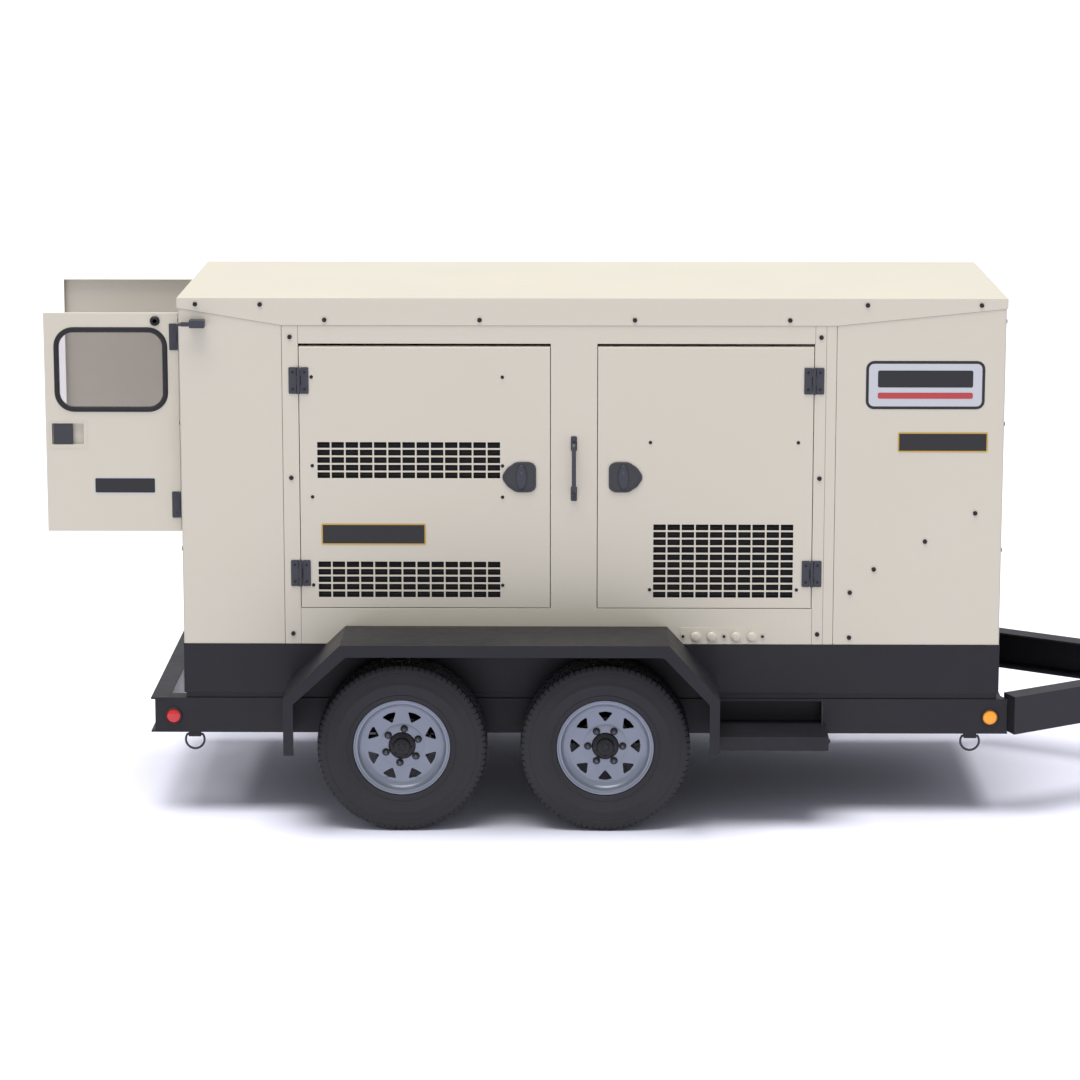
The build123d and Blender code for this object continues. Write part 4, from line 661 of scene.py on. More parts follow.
def soften(piece: bpy.types.Object, width: float) -> None:
    """Round a piece's sharp edges with a bevel that keeps flat faces flat.

    Args:
        piece: The object to soften.
        width: Width of the rounding.
    """
    bevel = piece.modifiers.new("edges", "BEVEL")
    bevel.width = width
    bevel.segments = 2
    bevel.limit_method = "ANGLE"
    bevel.angle_limit = math.radians(40)
    bevel.use_clamp_overlap = True
    bevel.miter_outer = "MITER_ARC"
    normals = piece.modifiers.new("normals", "WEIGHTED_NORMAL")
    normals.keep_sharp = True
    normals.weight = 60


# ---------------------------------------------------------------- carried-over parts
@dataclass
class Carcass:
    """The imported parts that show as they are, each in its own finish."""

    weld: float = 0.00002
    folded: float = 0.0016
    coats: dict[Coat, str] = field(
        default_factory=lambda: {
            Coat.CHARCOAL: "frame_rails frame_crossmembers tongue_beams tow_eye jack_tube fenders side_steps"
            " base_tank axles",
            Coat.CREAM: "roof side_frame_right side_frame_left corner_panels front_end_panel rear_frame"
            " gland_strip",
            Coat.DARK_STEEL: "leaf_springs",
            Coat.STEEL: "jack_leg",
            Coat.BLACK: "jack_crank canopy_screws",
            Coat.BLACK_PLASTIC: "breaker_handle battery radiator_fan rear_latch",
            Coat.SLATE: "holdback_catches",
            Coat.CASTING: "engine_block",
            Coat.ALTERNATOR: "alternator",
            Coat.HOT_STEEL: "muffler",
            Coat.FINS: "radiator",
            Coat.CABINET: "control_cabinet",
            Coat.FASCIA: "control_fascia",
            Coat.BUTTON_RED: "estop_button",
            Coat.GLASS: "rear_window_glass",
            Coat.RING_STEEL: "lashing_ring_rear_right lashing_ring_rear_left lashing_ring_front_right"
            " lashing_ring_front_left",
        }
    )
    smooth_already: tuple[Coat, ...] = (Coat.GLASS, Coat.RING_STEEL)

    def dress(self) -> None:
        """Give every listed part its finish, and most of them a softened edge."""
        for coat, names in self.coats.items():
            for name in names.split():
                node = NODES[name]
                for place in node.material_slots:
                    place.material = coat.material
                if coat not in self.smooth_already and name != "canopy_screws":
                    weld = node.modifiers.new("weld", "WELD")
                    weld.merge_threshold = self.weld
                    soften(node, self.folded)
                log.info("dressed %s", name)


# ---------------------------------------------------------------- hinges and screws
@dataclass
class Hinge:
    """Butt hinge leaves on a flat face: rounded plates, knuckles and screws."""

    facing: Facing
    face: float
    out: int
    axis: float
    way: int
    axis_out: float = 0.008
    barrel: float = 0.007
    thick: float = 0.004
    head: Spot = (0.0058, 0.0022)
    plate: Spot = (0.034, 0.113)
    corner: float = 0.005
    screw_rise: float = 0.036
    gap: float = 0.0004

    def add(self, leaves: Shape, screws: Shape, z: float, moving: bool) -> None:
        """Add one leaf with its knuckles.

        Args:
            leaves: The leaves' shape.
            screws: The screws' shape.
            z: Height of the hinge's middle.
            moving: Whether it carries the middle knuckle or the outer two.
        """
        (width, height), near = self.plate, self.barrel + 0.001
        front = self.face + self.out * self.thick
        middle = self.axis + self.way * (near + width / 2)
        leaf = rounded_rectangle((middle, z), width, height, self.corner)
        leaves.sweep(leaf, self.facing, (self.face, front))
        third = height / 3
        spans = [(z - height / 2, z - third / 2), (z + third / 2, z + height / 2)]
        if moving:
            spans = [(z - third / 2 + self.gap, z + third / 2 - self.gap)]
        along = (self.axis, self.axis + self.way * (near + 0.002))
        pin = self.face + self.out * self.axis_out
        for span in spans:
            if self.facing is Facing.Y:
                leaves.box(along, (self.face, front), span)
                leaves.rod(Facing.Z, (self.axis, pin), span, self.barrel, 24)
            else:
                leaves.box((self.face, front), along, span)
                leaves.rod(Facing.Z, (pin, self.axis), span, self.barrel, 24)
        radius, height = self.head
        for rise in (-self.screw_rise, self.screw_rise):
            depth = sorted((front, front + self.out * height))
            screws.rod(self.facing, (middle, z + rise), (depth[0], depth[1]), radius, 16)


@dataclass
class FixedLeaves:
    """Every hinge leaf that stays with the canopy, at the sides and at the rear."""

    rear_face: float = -2.033
    rear_axis: float = 0.612

    def build(self) -> None:
        """Build the side and rear leaves as one piece."""
        leaves, screws = Shape(), Shape()
        for side in Side:
            for bay in Bay:
                axis = PLACES[f"service_door_{bay.word}_{side.word}_hinge"][0]
                hinge = Hinge(Facing.Y, side.value * SKIN, side.value, axis, -bay.value)
                for z in ServiceDoor.hinge_heights:
                    hinge.add(leaves, screws, z, moving=False)
            rear = Hinge(
                Facing.X, self.rear_face, -1, side.value * self.rear_axis, side.value, 0.006, 0.006, 0.003
            )
            for z in RearDoor.hinge_heights:
                rear.add(leaves, screws, z, moving=False)
        screws.finish("fixed_leaf_screws", Coat.BLACK)
        leaves.finish("fixed_leaves", Coat.SLATE, bevel=0.0006, stands_for=["fixed_hinge_leaves"])


def domed_screws(name: str, spots: Iterable[Spot], side: Side, face: float, radius: float, body: str) -> None:
    """Make a set of domed screw heads with a washer under each.

    Args:
        name: The piece's name.
        spots: Middle (x, z) of each screw.
        side: The side of the machine that they stand on.
        face: Distance of the panel's face off the centre-line.
        radius: Radius of a washer.
        body: The body that they ride on.
    """
    shape = Shape()
    section = ((0, 0), (1, 0), (1, 0.0012), (0.72, 0.0014), (0.66, 0.0034), (0.4, 0.0044), (0, 0.0046))
    for spot in spots:
        profile = [(radius * share, side.value * (face + rise)) for share, rise in section]
        shape.turn(profile, Facing.Y, spot, 20)
    shape.finish(name, Coat.BLACK, body)


# ---------------------------------------------------------------- service doors
@dataclass
class ServiceDoor:
    """A side door: slotted panel, hinge leaves, latch plate, handle and screws."""

    side: Side
    bay: Bay
    sheet: float = 0.003
    fold: float = 0.028
    top_gap: float = 0.008
    hem: float = 0.011
    barrel_out: float = 0.008
    slot_size: Spot = (0.053, 0.025)
    slot_pitch: Spot = (0.060, 0.0324)
    hinge_heights: ClassVar[Spot] = (1.884, 1.057)
    latch_size: Spot = (0.142, 0.130)
    latch_proud: float = 0.006
    plate_shift: float = 0.0095
    screw_radius: float = 0.0075
    handle: Point = (0.023, 0.0525, 0.0105)
    slat: float = 0.0015

    def __post_init__(self) -> None:
        """Read the door's place from the frame."""
        self.node = f"service_door_{self.bay.word}_{self.side.word}"
        self.latch = f"door_latch_{self.bay.word}_{self.side.word}"
        low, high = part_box(self.node)
        hinge, turn = PLACES[f"{self.node}_hinge"], PLACES[f"{self.latch}_turn"]
        self.hinge_x = hinge[0]
        free = high.x if self.bay is Bay.REAR else low.x
        left, right = sorted((hinge[0] + self.bay.value * 0.0015, free))
        self.x: Span = (left, right)
        self.z: Span = (low.z, high.z - self.top_gap)
        self.outer = abs(hinge[1]) - self.barrel_out
        self.shaft: Spot = (turn[0], turn[2])
        if self.bay is Bay.REAR:
            self.grilles = [((left + 0.4605, z), (13, 5)) for z in (1.544, 1.0295)]
            screws = ((0.052, 0.857), (1.899, 1.520, 1.386, 1.005))
        else:
            self.grilles = [((left + 0.533, 1.111), (10, 10))]
            screws = ((0.222, 0.846), (1.6215, 0.987))
        self.screw_spots = [(left + run, z) for z in screws[1] for run in screws[0]]

    def depth(self, inner: float, outer: float = 0.0) -> Span:
        """Turn two distances behind the door's face into limits on Y."""
        return self.side.across(self.outer - inner, self.outer - outer)

    def cuts(self, axis: int) -> list[float]:
        """Return the lattice's cut lines.

        Args:
            axis: 0 for X, 1 for Z.

        Returns:
            The cut lines, in order and without repeats.
        """
        lines = set(self.x if axis == 0 else (self.z[0], self.z[1] - self.hem))
        pitch, half = self.slot_pitch[axis], self.slot_size[axis] / 2
        for middle, counts in self.grilles:
            first = middle[axis] - pitch * (counts[axis] - 1) / 2
            for index in range(counts[axis]):
                lines.update(round(first + index * pitch + edge, 5) for edge in (-half, half))
        return sorted(lines)

    def in_slot(self, *spot: float) -> bool:
        """Tell whether a place (x, z) on the panel falls in a grille slot."""
        for middle, counts in self.grilles:
            inside = True
            rows = zip(spot, middle, self.slot_pitch, self.slot_size, counts)
            for place, centre, pitch, size, count in rows:
                run = place - (centre - pitch * (count - 1) / 2)
                index = round(run / pitch)
                inside = inside and 0 <= index < count and abs(run - index * pitch) < size / 2
            if inside:
                return True
        return False

    def hem_outline(self) -> Loop:
        """Return the section of the rounded bend along the panel's top edge."""
        steps = 6
        spots: Loop = []
        for reach, order in ((self.hem, range(steps + 1)), (self.hem - self.sheet, range(steps, -1, -1))):
            for step in order:
                angle = math.pi / 2 * step / steps
                out = self.outer - self.hem + reach * math.cos(angle)
                spots.append((self.side.value * out, self.z[1] - self.hem + reach * math.sin(angle)))
        return spots

    def build_panel(self) -> None:
        """Make the folded, slotted panel with its hemmed top."""
        shape = Shape()
        shape.lattice(self.cuts(0), self.cuts(1), self.depth(self.sheet), self.in_slot)
        edge, hem = self.depth(self.fold, self.sheet), self.depth(self.fold, self.hem)
        add_folds(shape, self.x, self.z, edge, hem, self.sheet)
        shape.sweep(self.hem_outline(), Facing.X, self.x)
        shape.finish(f"{self.node}_panel", Coat.CREAM, self.node, 0.0009, stands_for=[self.node])

    def build_baffles(self) -> None:
        """Make the dark foam and slats behind each grille."""
        shape = Shape()
        for (x, z), (columns, rows) in self.grilles:
            wide, tall = columns * self.slot_pitch[0] / 2 + 0.01, rows * self.slot_pitch[1] / 2 + 0.01
            shape.box((x - wide, x + wide), self.depth(0.022, 0.017), (z - tall, z + tall))
            for index in range(rows):
                middle = z + (index - (rows - 1) / 2) * self.slot_pitch[1]
                rise = (middle - self.slat, middle + self.slat)
                shape.box((x - wide, x + wide), self.depth(0.016, 0.008), rise)
        shape.finish(f"{self.node}_baffles", Coat.FOAM, self.node)

    def build_leaves(self) -> None:
        """Make the two moving hinge leaves with their screws."""
        hinge = Hinge(Facing.Y, self.side.value * self.outer, self.side.value, self.hinge_x, self.bay.value)
        leaves, screws = Shape(), Shape()
        for z in self.hinge_heights:
            hinge.add(leaves, screws, z, moving=True)
        screws.finish(f"{self.node}_leaf_screws", Coat.BLACK, self.node)
        leaves.finish(f"{self.node}_leaves", Coat.SLATE, self.node, 0.0007)

    def latch_outline(self, scale: float = 1.0) -> Loop:
        """Return the latch plate's outline, pointed away from the free edge."""
        width, height = self.latch_size
        centre = self.shaft[0] - self.bay.value * self.plate_shift
        upper = [(0.5, 0.38), (0.34, 0.5), (-0.10, 0.5), (-0.36, 0.30), (-0.5, 0.07)]
        corners = [(0.5, -0.38)] + upper + [(u, -v) for u, v in reversed(upper[1:])]
        spots = [
            (centre + self.bay.value * u * width * scale, self.shaft[1] + v * height * scale)
            for u, v in corners
        ]
        return rounded_corners(spots, 0.045 * scale)

    def build_latch_plate(self) -> None:
        """Make the moulded plate that the handle turns on, with a raised rim."""
        shape = Shape()
        rim = self.latch_outline()
        shape.sweep(rim, Facing.Y, self.depth(0, -0.003))
        shape.sweep(rim, Facing.Y, self.depth(-0.003, -self.latch_proud), [self.latch_outline(0.86)])
        shape.finish(f"{self.node}_latch_plate", Coat.BLACK_PLASTIC, self.node, 0.0012)

    def build_handle(self) -> None:
        """Make the oval turning handle, its lock barrel, shaft and cam."""
        shape, lock = Shape(), Shape()
        (x, z), sign = self.shaft, self.side.value
        wide, tall, thick = self.handle
        start = self.outer + 0.0035
        face = start + thick
        section = [
            (0.0, face), (0.55, face), (0.82, face - 0.0012), (0.95, face - 0.003), (1.0, face - 0.0055)
        ]
        shape.wrap(
            [
                (x + u * wide * share, sign * depth, z + v * tall * share)
                for u, v in circle_loop((0, 0), 1.0, 48)
            ]
            if share else [(x, sign * depth, z)]
            for share, depth in section + [(1.0, start), (0.0, start)]
        )
        shape.rod(Facing.Y, self.shaft, self.side.across(self.outer - 0.022, start), 0.006, 20)
        cam = (x - self.bay.value * 0.014, x + self.bay.value * 0.092)
        shape.box(cam, self.depth(0.027, 0.022), (z - 0.014, z + 0.014))
        name = f"{self.latch}_handle"
        shape.finish(name, Coat.SLATE, self.latch, slot="latch_black", stands_for=[self.latch])
        barrel = ((0, -0.002), (0.0065, -0.002), (0.0065, 0.0012), (0.0055, 0.0022), (0, 0.0022))
        lock.turn([(radius, sign * (face + rise)) for radius, rise in barrel], Facing.Y, (x, z + 0.018), 28)
        lock.finish(f"{self.latch}_lock", Coat.NUT_STEEL, self.latch)

    def build(self) -> None:
        """Build every piece of the door."""
        self.build_panel()
        self.build_baffles()
        self.build_leaves()
        self.build_latch_plate()
        self.build_handle()
        name = f"{self.node}_screws"
        domed_screws(name, self.screw_spots, self.side, self.outer, self.screw_radius, self.node)


def add_folds(shape: Shape, x: Span, z: Span, depth: Span, top_depth: Span, thick: float) -> None:
    """Add the folded edges round a door's panel.

    Args:
        shape: The door's shape.
        x: The panel's limits along X.
        z: Its limits along Z.
        depth: The folds' limits along Y.
        top_depth: The top fold's limits along Y.
        thick: The sheet's thickness.
    """
    (left, right), (low, high) = x, z
    inside = (left + thick, right - thick)
    shape.box((left, left + thick), depth, z)
    shape.box((right - thick, right), depth, z)
    shape.box(inside, depth, (low, low + thick))
    shape.box(inside, top_depth, (high - thick, high))


# ---------------------------------------------------------------- wheels
@dataclass
class Wheel:
    """A tyre with cut tread on a pressed wheel with eight windows, hub cap and nuts."""

    side: Side
    axle: str
    pitches: int = 84
    tread_depth: float = 0.005
    tyre_radius: float = 0.3593
    groove_depth: float = 0.0085
    rim_radius: float = 0.205
    rim_half: float = 0.089
    barrel_radius: float = 0.1835
    disc_radius: float = 0.184
    face: float = 0.049
    window_radii: Spot = (0.104, 0.1475)
    window_swing: float = 0.222
    hub_radius: float = 0.056
    hub_bolts: Spot = (0.0445, 0.0055)
    lug_circle: float = 0.0735
    nut_radius: float = 0.0112

    def __post_init__(self) -> None:
        """Read the wheel's place from its joint."""
        self.body = f"wheel_{self.axle}_{self.side.word}"
        x, self.middle, z = PLACES[f"{self.body}_spin"]
        self.spot: Spot = (x, z)
        self.turned = 0.0 if self.axle == "front" else 22.5

    def out(self, profile: Iterable[Spot]) -> list[Spot]:
        """Turn depths outwards from the wheel's middle plane into Y, in pairs that hold a radius first."""
        return [(radius, self.middle + self.side.value * depth) for radius, depth in profile]

    def depth(self, start: float, end: float) -> Span:
        """Turn two depths from the wheel's middle plane into limits on Y."""
        near, far = self.out([(0, start), (0, end)])
        return (near[1], far[1])

    def build_tyre(self) -> None:
        """Make the tyre: sidewall ribs, shoulder lugs and blocks with grooves between."""
        radius, bottom = self.tyre_radius, self.tyre_radius - self.groove_depth
        walls = [
            (0.1905, 0.082), (0.206, 0.083), (0.2075, 0.0905),
            (0.214, 0.0955), (0.224, 0.0985), (0.2255, 0.1005),
            (0.2285, 0.1010), (0.230, 0.0995), (0.250, 0.1075),
            (0.272, 0.1118), (0.2735, 0.1123), (0.279, 0.1123),
            (0.2805, 0.1116), (0.300, 0.1110), (0.318, 0.1075), (0.3195, 0.1090), (0.329, 0.1062),
            (radius - 0.0225, 0.1048),
        ]
        lugs = [
            (radius - 0.0125, 0.1015), (radius - 0.0045, 0.0945),
            (radius - 0.0012, 0.0700), (radius - 0.0010, 0.0620)
        ]
        grooves = [(bottom, 0.0605), (bottom, 0.0540)]
        blocks = [(radius - 0.0005, 0.0525), (radius, 0.0250)]
        ribs = [(bottom, 0.0235), (bottom, 0.0165), (radius, 0.0150)]
        outer = [
            (reach, depth, zone)
            for zone, rows in (("", walls), ("lug", lugs), ("", grooves), ("block", blocks), ("", ribs))
            for reach, depth in rows
        ]
        rows = [(reach, -depth, zone) for reach, depth, zone in outer] + outer[::-1]
        shares = (0.0, 0.03, 0.17, 0.20, 0.50, 0.53, 0.67, 0.70)
        cut_columns = {"": (), "lug": (1, 2), "block": (5, 6)}
        angles = [
            2 * math.pi * (pitch + share) / self.pitches
            for pitch in range(self.pitches) for share in shares
        ]

        def dent(row: int, column: int) -> float:
            """Drop the radius in the cross grooves."""
            return self.tread_depth if column % len(shares) in cut_columns[rows[row][2]] else 0.0

        shape = Shape()
        profile = self.out((reach, depth) for reach, depth, _ in rows)
        shape.turn(profile, Facing.Y, self.spot, angles=angles, dent=dent, closed=True)
        name = f"tyre_{self.axle}_{self.side.word}"
        shape.finish(f"{name}_rubber", Coat.TYRE, self.body, smooth=32.0, stands_for=[name])

    def window(self, index: int) -> Loop:
        """Return one rounded, three-cornered window of the disc, by its count round the wheel."""
        middle = math.radians(self.turned) + 2 * math.pi * index / 8
        (inner, outer), swing, (x, z) = self.window_radii, self.window_swing, self.spot
        corners = ((inner, 0.0), (outer, -swing), (outer * 1.01, 0.0), (outer, swing))
        spots = [
            (x + reach * math.cos(middle + lean), z + reach * math.sin(middle + lean))
            for reach, lean in corners
        ]
        return rounded_corners(spots, 0.005, 4)

    def build_rim(self) -> None:
        """Make the barrel, flanges and the pressed disc with its windows."""
        shape = Shape()
        lip, half, well, face = self.rim_radius, self.rim_half, self.barrel_radius, self.face
        barrel = [
            (well, -half), (lip - 0.002, -half), (lip, -half + 0.002),
            (lip, -half + 0.006), (0.1905, -half + 0.009),
            (0.1905, half - 0.009), (lip, half - 0.006), (lip, half - 0.002), (lip - 0.002, half),
            (0.199, half - 0.0005), (0.196, half - 0.0045), (0.188, half - 0.007), (0.1845, half - 0.012),
            (well, half - 0.030), (well, 0.0), (well, -half + 0.02),
        ]
        ridge = [
            (0.153, face - 0.002), (0.160, face + 0.0008), (0.170, face + 0.004), (0.178, face + 0.010),
            (0.1837, face + 0.018), (0.1837, face - 0.004), (0.153, face - 0.004),
        ]
        collar = [
            (0.0575, face - 0.003), (0.0575, face + 0.0025), (0.060, face + 0.0035),
            (0.084, face + 0.0035), (0.094, face + 0.0003), (0.094, face - 0.003),
        ]
        for profile in (barrel, ridge, collar):
            shape.turn(self.out(profile), Facing.Y, self.spot, 96, closed=True)
        holes = [self.window(index) for index in range(8)]
        holes.append(circle_loop(self.spot, self.hub_radius + 0.001, 48))
        edge = circle_loop(self.spot, self.disc_radius, 96)
        shape.sweep(edge, Facing.Y, self.depth(face - 0.008, face), holes)
        shape.finish(f"{self.body}_rim", Coat.SILVER, self.body, 0.0008, stands_for=[self.body])

    def build_hub(self) -> None:
        """Make the dark drum behind the disc and the hub cap through it."""
        shape, face = Shape(), self.face
        cap = [
            (0, face + 0.034), (0.014, face + 0.034), (0.017, face + 0.031), (0.030, face + 0.030),
            (0.034, face + 0.027), (0.036, face + 0.012), (0.050, face + 0.009), (0.055, face + 0.006),
            (self.hub_radius, face + 0.002), (self.hub_radius, face - 0.020), (0.118, face - 0.022),
            (0.120, face - 0.026), (0.120, face - 0.090), (0, face - 0.090),
        ]
        shape.turn(self.out(cap), Facing.Y, self.spot, 64)
        circle, radius = self.hub_bolts
        for place in circle_loop(self.spot, circle, 6, self.turned + 30):
            shape.sweep(circle_loop(place, radius, 6), Facing.Y, self.depth(face + 0.006, face + 0.0145))
        shape.finish(f"{self.body}_hub", Coat.BLACK, self.body, 0.0006)

    def build_nuts(self) -> None:
        """Make the tapered, capped lug nuts and the black rings round them, painted shade of the lug holes.
        """
        nuts, lug_hole_shades = Shape(), Shape()
        start = self.face + 0.0055
        dome = [(0.0095, start + 0.012), (0.0088, start + 0.018), (0.005, start + 0.0215), (0, start + 0.022)]
        for index, place in enumerate(circle_loop(self.spot, self.lug_circle, 6, self.turned)):
            # black ring round each nut: painted shade of the lug hole
            lug_hole_shades.rod(Facing.Y, place, self.depth(start - 0.004, start - 0.0015), 0.0165, 28)
            outline = circle_loop(place, self.nut_radius, 6, self.turned + 60 * index)
            nuts.sweep(outline, Facing.Y, self.depth(start - 0.002, start + 0.012))
            nuts.turn(self.out(dome), Facing.Y, place, 20)
        lug_hole_shades.finish(f"{self.body}_seats", Coat.BLACK, self.body)
        nuts.finish(f"{self.body}_nuts", Coat.NUT_STEEL, self.body, 0.0006)

    def build(self) -> None:
        """Build every piece of the wheel."""
        self.build_tyre()
        self.build_rim()
        self.build_hub()
        self.build_nuts()


# ---------------------------------------------------------------- rear doors
@dataclass
class RearDoor:
    """A rear door that stands open, with its leaves and, on the right, its window trim and latch."""

    side: Side
    sheet: float = 0.003
    fold: float = 0.025
    axis_gap: float = 0.006
    hinge_gap: float = 0.003
    hinge_heights: ClassVar[Spot] = (2.060, 1.3405)
    window: Point = (0.482, 0.362, 0.084)
    window_run: float = 0.046
    window_height: float = 1.920
    seal: float = 0.023
    socket: Spot = (0.100, 2.1275)
    latch_well: Spot = (1.5995, 1.6895)
    latch_margins: Spot = (0.008, 0.046)

    def __post_init__(self) -> None:
        """Read the door's place from the frame."""
        self.node = f"rear_door_{self.side.word}"
        low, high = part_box(self.node)
        self.axis, across, _ = PLACES[f"{self.node}_hinge"]
        self.x: Span = (low.x, self.axis - self.hinge_gap)
        self.z: Span = (low.z, high.z)
        self.outer = abs(across) - self.axis_gap
        latch_low, latch_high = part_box("rear_latch")
        self.well_x: Span = (latch_low.x - self.latch_margins[0], latch_high.x + self.latch_margins[1])

    def depth(self, inner: float, outer: float = 0.0) -> Span:
        """Turn two distances behind the door's face into limits on Y."""
        return self.side.across(self.outer - inner, self.outer - outer)

    def window_outline(self, grow: float) -> Loop:
        """Return the window's rounded outline, grown by a margin."""
        width, height, radius = self.window
        centre = (self.x[1] - self.window_run - width / 2, self.window_height)
        return rounded_rectangle(centre, width + 2 * grow, height + 2 * grow, radius + grow, 10)

    def well_outline(self, wider: float, taller: float, radius: float) -> Loop:
        """Return the latch well's rounded outline, grown along X and Z."""
        (left, right), (low, high) = self.well_x, self.latch_well
        centre = ((left + right) / 2, (low + high) / 2)
        return rounded_rectangle(centre, right - left + wider, high - low + taller, radius)

    def build_panel(self) -> None:
        """Make the folded panel, with openings for the window and the latch."""
        shape = Shape()
        (left, right), (low, high) = self.x, self.z
        holes = []
        if self.side is Side.RIGHT:
            holes = [self.window_outline(-self.seal / 2), self.well_outline(0, 0, 0.004)]
            self.add_well(shape)
        edge = [(left, low), (right, low), (right, high), (left, high)]
        shape.sweep(edge, Facing.Y, self.depth(self.sheet), holes)
        fold = self.depth(self.fold, self.sheet)
        add_folds(shape, self.x, self.z, fold, fold, self.sheet)
        shape.finish(f"{self.node}_panel", Coat.CREAM, self.node, 0.0009, stands_for=[self.node])

    def add_well(self, shape: Shape) -> None:
        """Add the latch's pressed well and the raised frame round it."""
        (left, right), (low, high), thick = self.well_x, self.latch_well, self.sheet
        tall = (low - thick, high + thick)
        wall = self.depth(0.018, thick)
        shape.box((left - thick, right + thick), self.depth(0.021, 0.018), tall)
        shape.box((left - thick, left), wall, tall)
        shape.box((right, right + thick), wall, tall)
        shape.box(self.well_x, wall, (low - thick, low))
        shape.box(self.well_x, wall, (high, high + thick))
        inner = self.well_outline(0.018, 0.020, 0.004)
        shape.sweep(self.well_outline(0.030, 0.032, 0.006), Facing.Y, self.depth(0, -0.0012), [inner])

    def build_leaves(self) -> None:
        """Make the moving hinge leaves with their screws."""
        face, sign = self.side.value * self.outer, self.side.value
        hinge = Hinge(Facing.Y, face, sign, self.axis, -1, 0.006, 0.006, 0.003, (0.006, 0.0025))
        shape = Shape()
        for z in self.hinge_heights:
            hinge.add(shape, shape, z, moving=True)
        shape.finish(f"{self.node}_leaves", Coat.SLATE, self.node, 0.0006)

    def build_seal(self) -> None:
        """Make the window's rounded rubber moulding."""
        shape = Shape()
        section = (
            (0.0, 0.0), (-0.001, 0.0025), (-0.004, 0.0045), (-0.0085, 0.0052), (-0.013, 0.0047),
            (-0.0185, 0.0022), (-0.023, -0.0008), (-0.023, -0.0065), (-0.0185, -0.0095),
            (-0.004, -0.0100), (0.0, -0.0080), (0.0, -0.0035), (-0.0115, -0.0034), (-0.0115, 0.0),
        )
        shape.wrap(
            ([(u, self.side.value * (self.outer + rise), v) for u, v in self.window_outline(grow)]
             for grow, rise in section),
            closed=True,
        )
        shape.finish(f"{self.node}_seal", Coat.SEAL, self.node, smooth=50.0, stands_for=["rear_window_seal"])

    def build_socket(self) -> None:
        """Make the rubber hold-back socket."""
        shape = Shape()
        section = (
            (0.009, 0.002), (0.009, 0.009), (0.0105, 0.010),
            (0.0165, 0.010), (0.0195, 0.0075), (0.021, 0.002),
            (0.021, 0), (0, 0), (0, 0.002),
        )
        profile = [(radius, self.side.value * (self.outer + rise)) for radius, rise in section]
        shape.turn(profile, Facing.Y, (self.axis - self.socket[0], self.socket[1]), 36)
        shape.finish(f"{self.node}_socket", Coat.BLACK, self.node)

    def build(self) -> None:
        """Build every piece of the door."""
        self.build_panel()
        self.build_leaves()
        if self.side is Side.RIGHT:
            self.build_seal()
            self.build_socket()


# ---------------------------------------------------------------- lamps, plates and trim
@dataclass
class Lamps:
    """Side and tail lamps: a rubber grommet and a ribbed, domed lens in each."""

    tail_radius: float = 0.046
    tail_inset: float = 0.060
    tail_face: float = 0.010
    lens_share: float = 0.83
    dome: float = 0.0095
    rings: int = 9

    def lens_section(self, radius: float) -> list[Spot]:
        """Return radius and rise along a dome with fine concentric ribs."""
        section = [(radius, 0.0)]
        for index in range(self.rings):
            share = 1 - index / self.rings
            rise = self.dome * math.sqrt(1 - (share * 0.97) ** 2) + 0.001
            section += [(radius * share, rise), (radius * (share - 0.45 / self.rings), rise + 0.0005)]
        return section + [(0, self.dome + 0.001)]

    def grommet_section(self, radius: float) -> list[Spot]:
        """Return radius and rise round the rubber ring of a lens."""
        inner = radius * self.lens_share
        shares = ((1.0, 0.0), (0.995, 0.0045), (0.96, 0.0072), (0.90, 0.00855))
        return [(radius * share, rise) for share, rise in shares] + [(inner, 0.0085), (inner * 0.98, 0.0)]

    def build(self) -> None:
        """Build the red and amber lamps."""
        red, amber, grommets = Shape(), Shape(), Shape()
        (low, high), (amber_low, amber_high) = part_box("red_lenses"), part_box("amber_lenses")
        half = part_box("frame_rails")[1].y
        radius, marker_z = (amber_high.z - amber_low.z) / 2, (amber_low.z + amber_high.z) / 2
        for side in Side:
            sign = side.value
            tail = (sign * (half - self.tail_inset), (low.z + high.z) / 2)
            places = (
                (red, Facing.Y, (high.x - radius, marker_z), sign * half, sign, radius),
                (amber, Facing.Y, ((amber_low.x + amber_high.x) / 2, marker_z), sign * half, sign, radius),
                (red, Facing.X, tail, low.x + self.tail_face, -1, self.tail_radius),
            )
            for shape, facing, spot, face, out, reach in places:
                lens = [(r, face + out * rise) for r, rise in self.lens_section(reach * self.lens_share)]
                ring = [(r, face + out * rise) for r, rise in self.grommet_section(reach)]
                shape.turn(lens, facing, spot)
                grommets.turn(ring, facing, spot, closed=True)
        red.finish("red_lamp_lenses", Coat.RED_LENS, stands_for=["red_lenses"])
        amber.finish("amber_lamp_lenses", Coat.AMBER_LENS, stands_for=["amber_lenses"])
        grommets.finish("lamp_grommets", Coat.SEAL, smooth=60.0)


@dataclass(frozen=True)
class Plate:
    """A blank, textless plate where a maker would put markings: a border with a face inside it."""

    name: str
    centre: Spot
    width: float
    height: float
    edge: Coat = Coat.GOLD
    face: Coat = Coat.PLATE_DARK
    radius: float = 0.008
    border: float = 0.006
    skin: float = SKIN
    lift: float = 0.0012

    def build(self, side: Side, body: str) -> None:
        """Make the plate on one side.

        Args:
            side: Side of the machine.
            body: The body that it rides on.
        """
        border, middle = Shape(), Shape()
        inner_size = (self.width - 2 * self.border, self.height - 2 * self.border)
        inner = rounded_rectangle(self.centre, *inner_size, max(0.001, self.radius - self.border))
        outline = rounded_rectangle(self.centre, self.width, self.height, self.radius)
        border.sweep(outline, Facing.Y, side.across(self.skin, self.skin + self.lift), [inner])
        border.finish(f"{self.name}_{side.word}_border", self.edge, body)
        middle.sweep(inner, Facing.Y, side.across(self.skin, self.skin + self.lift * 0.8))
        middle.finish(f"{self.name}_{side.word}_face", self.face, body)


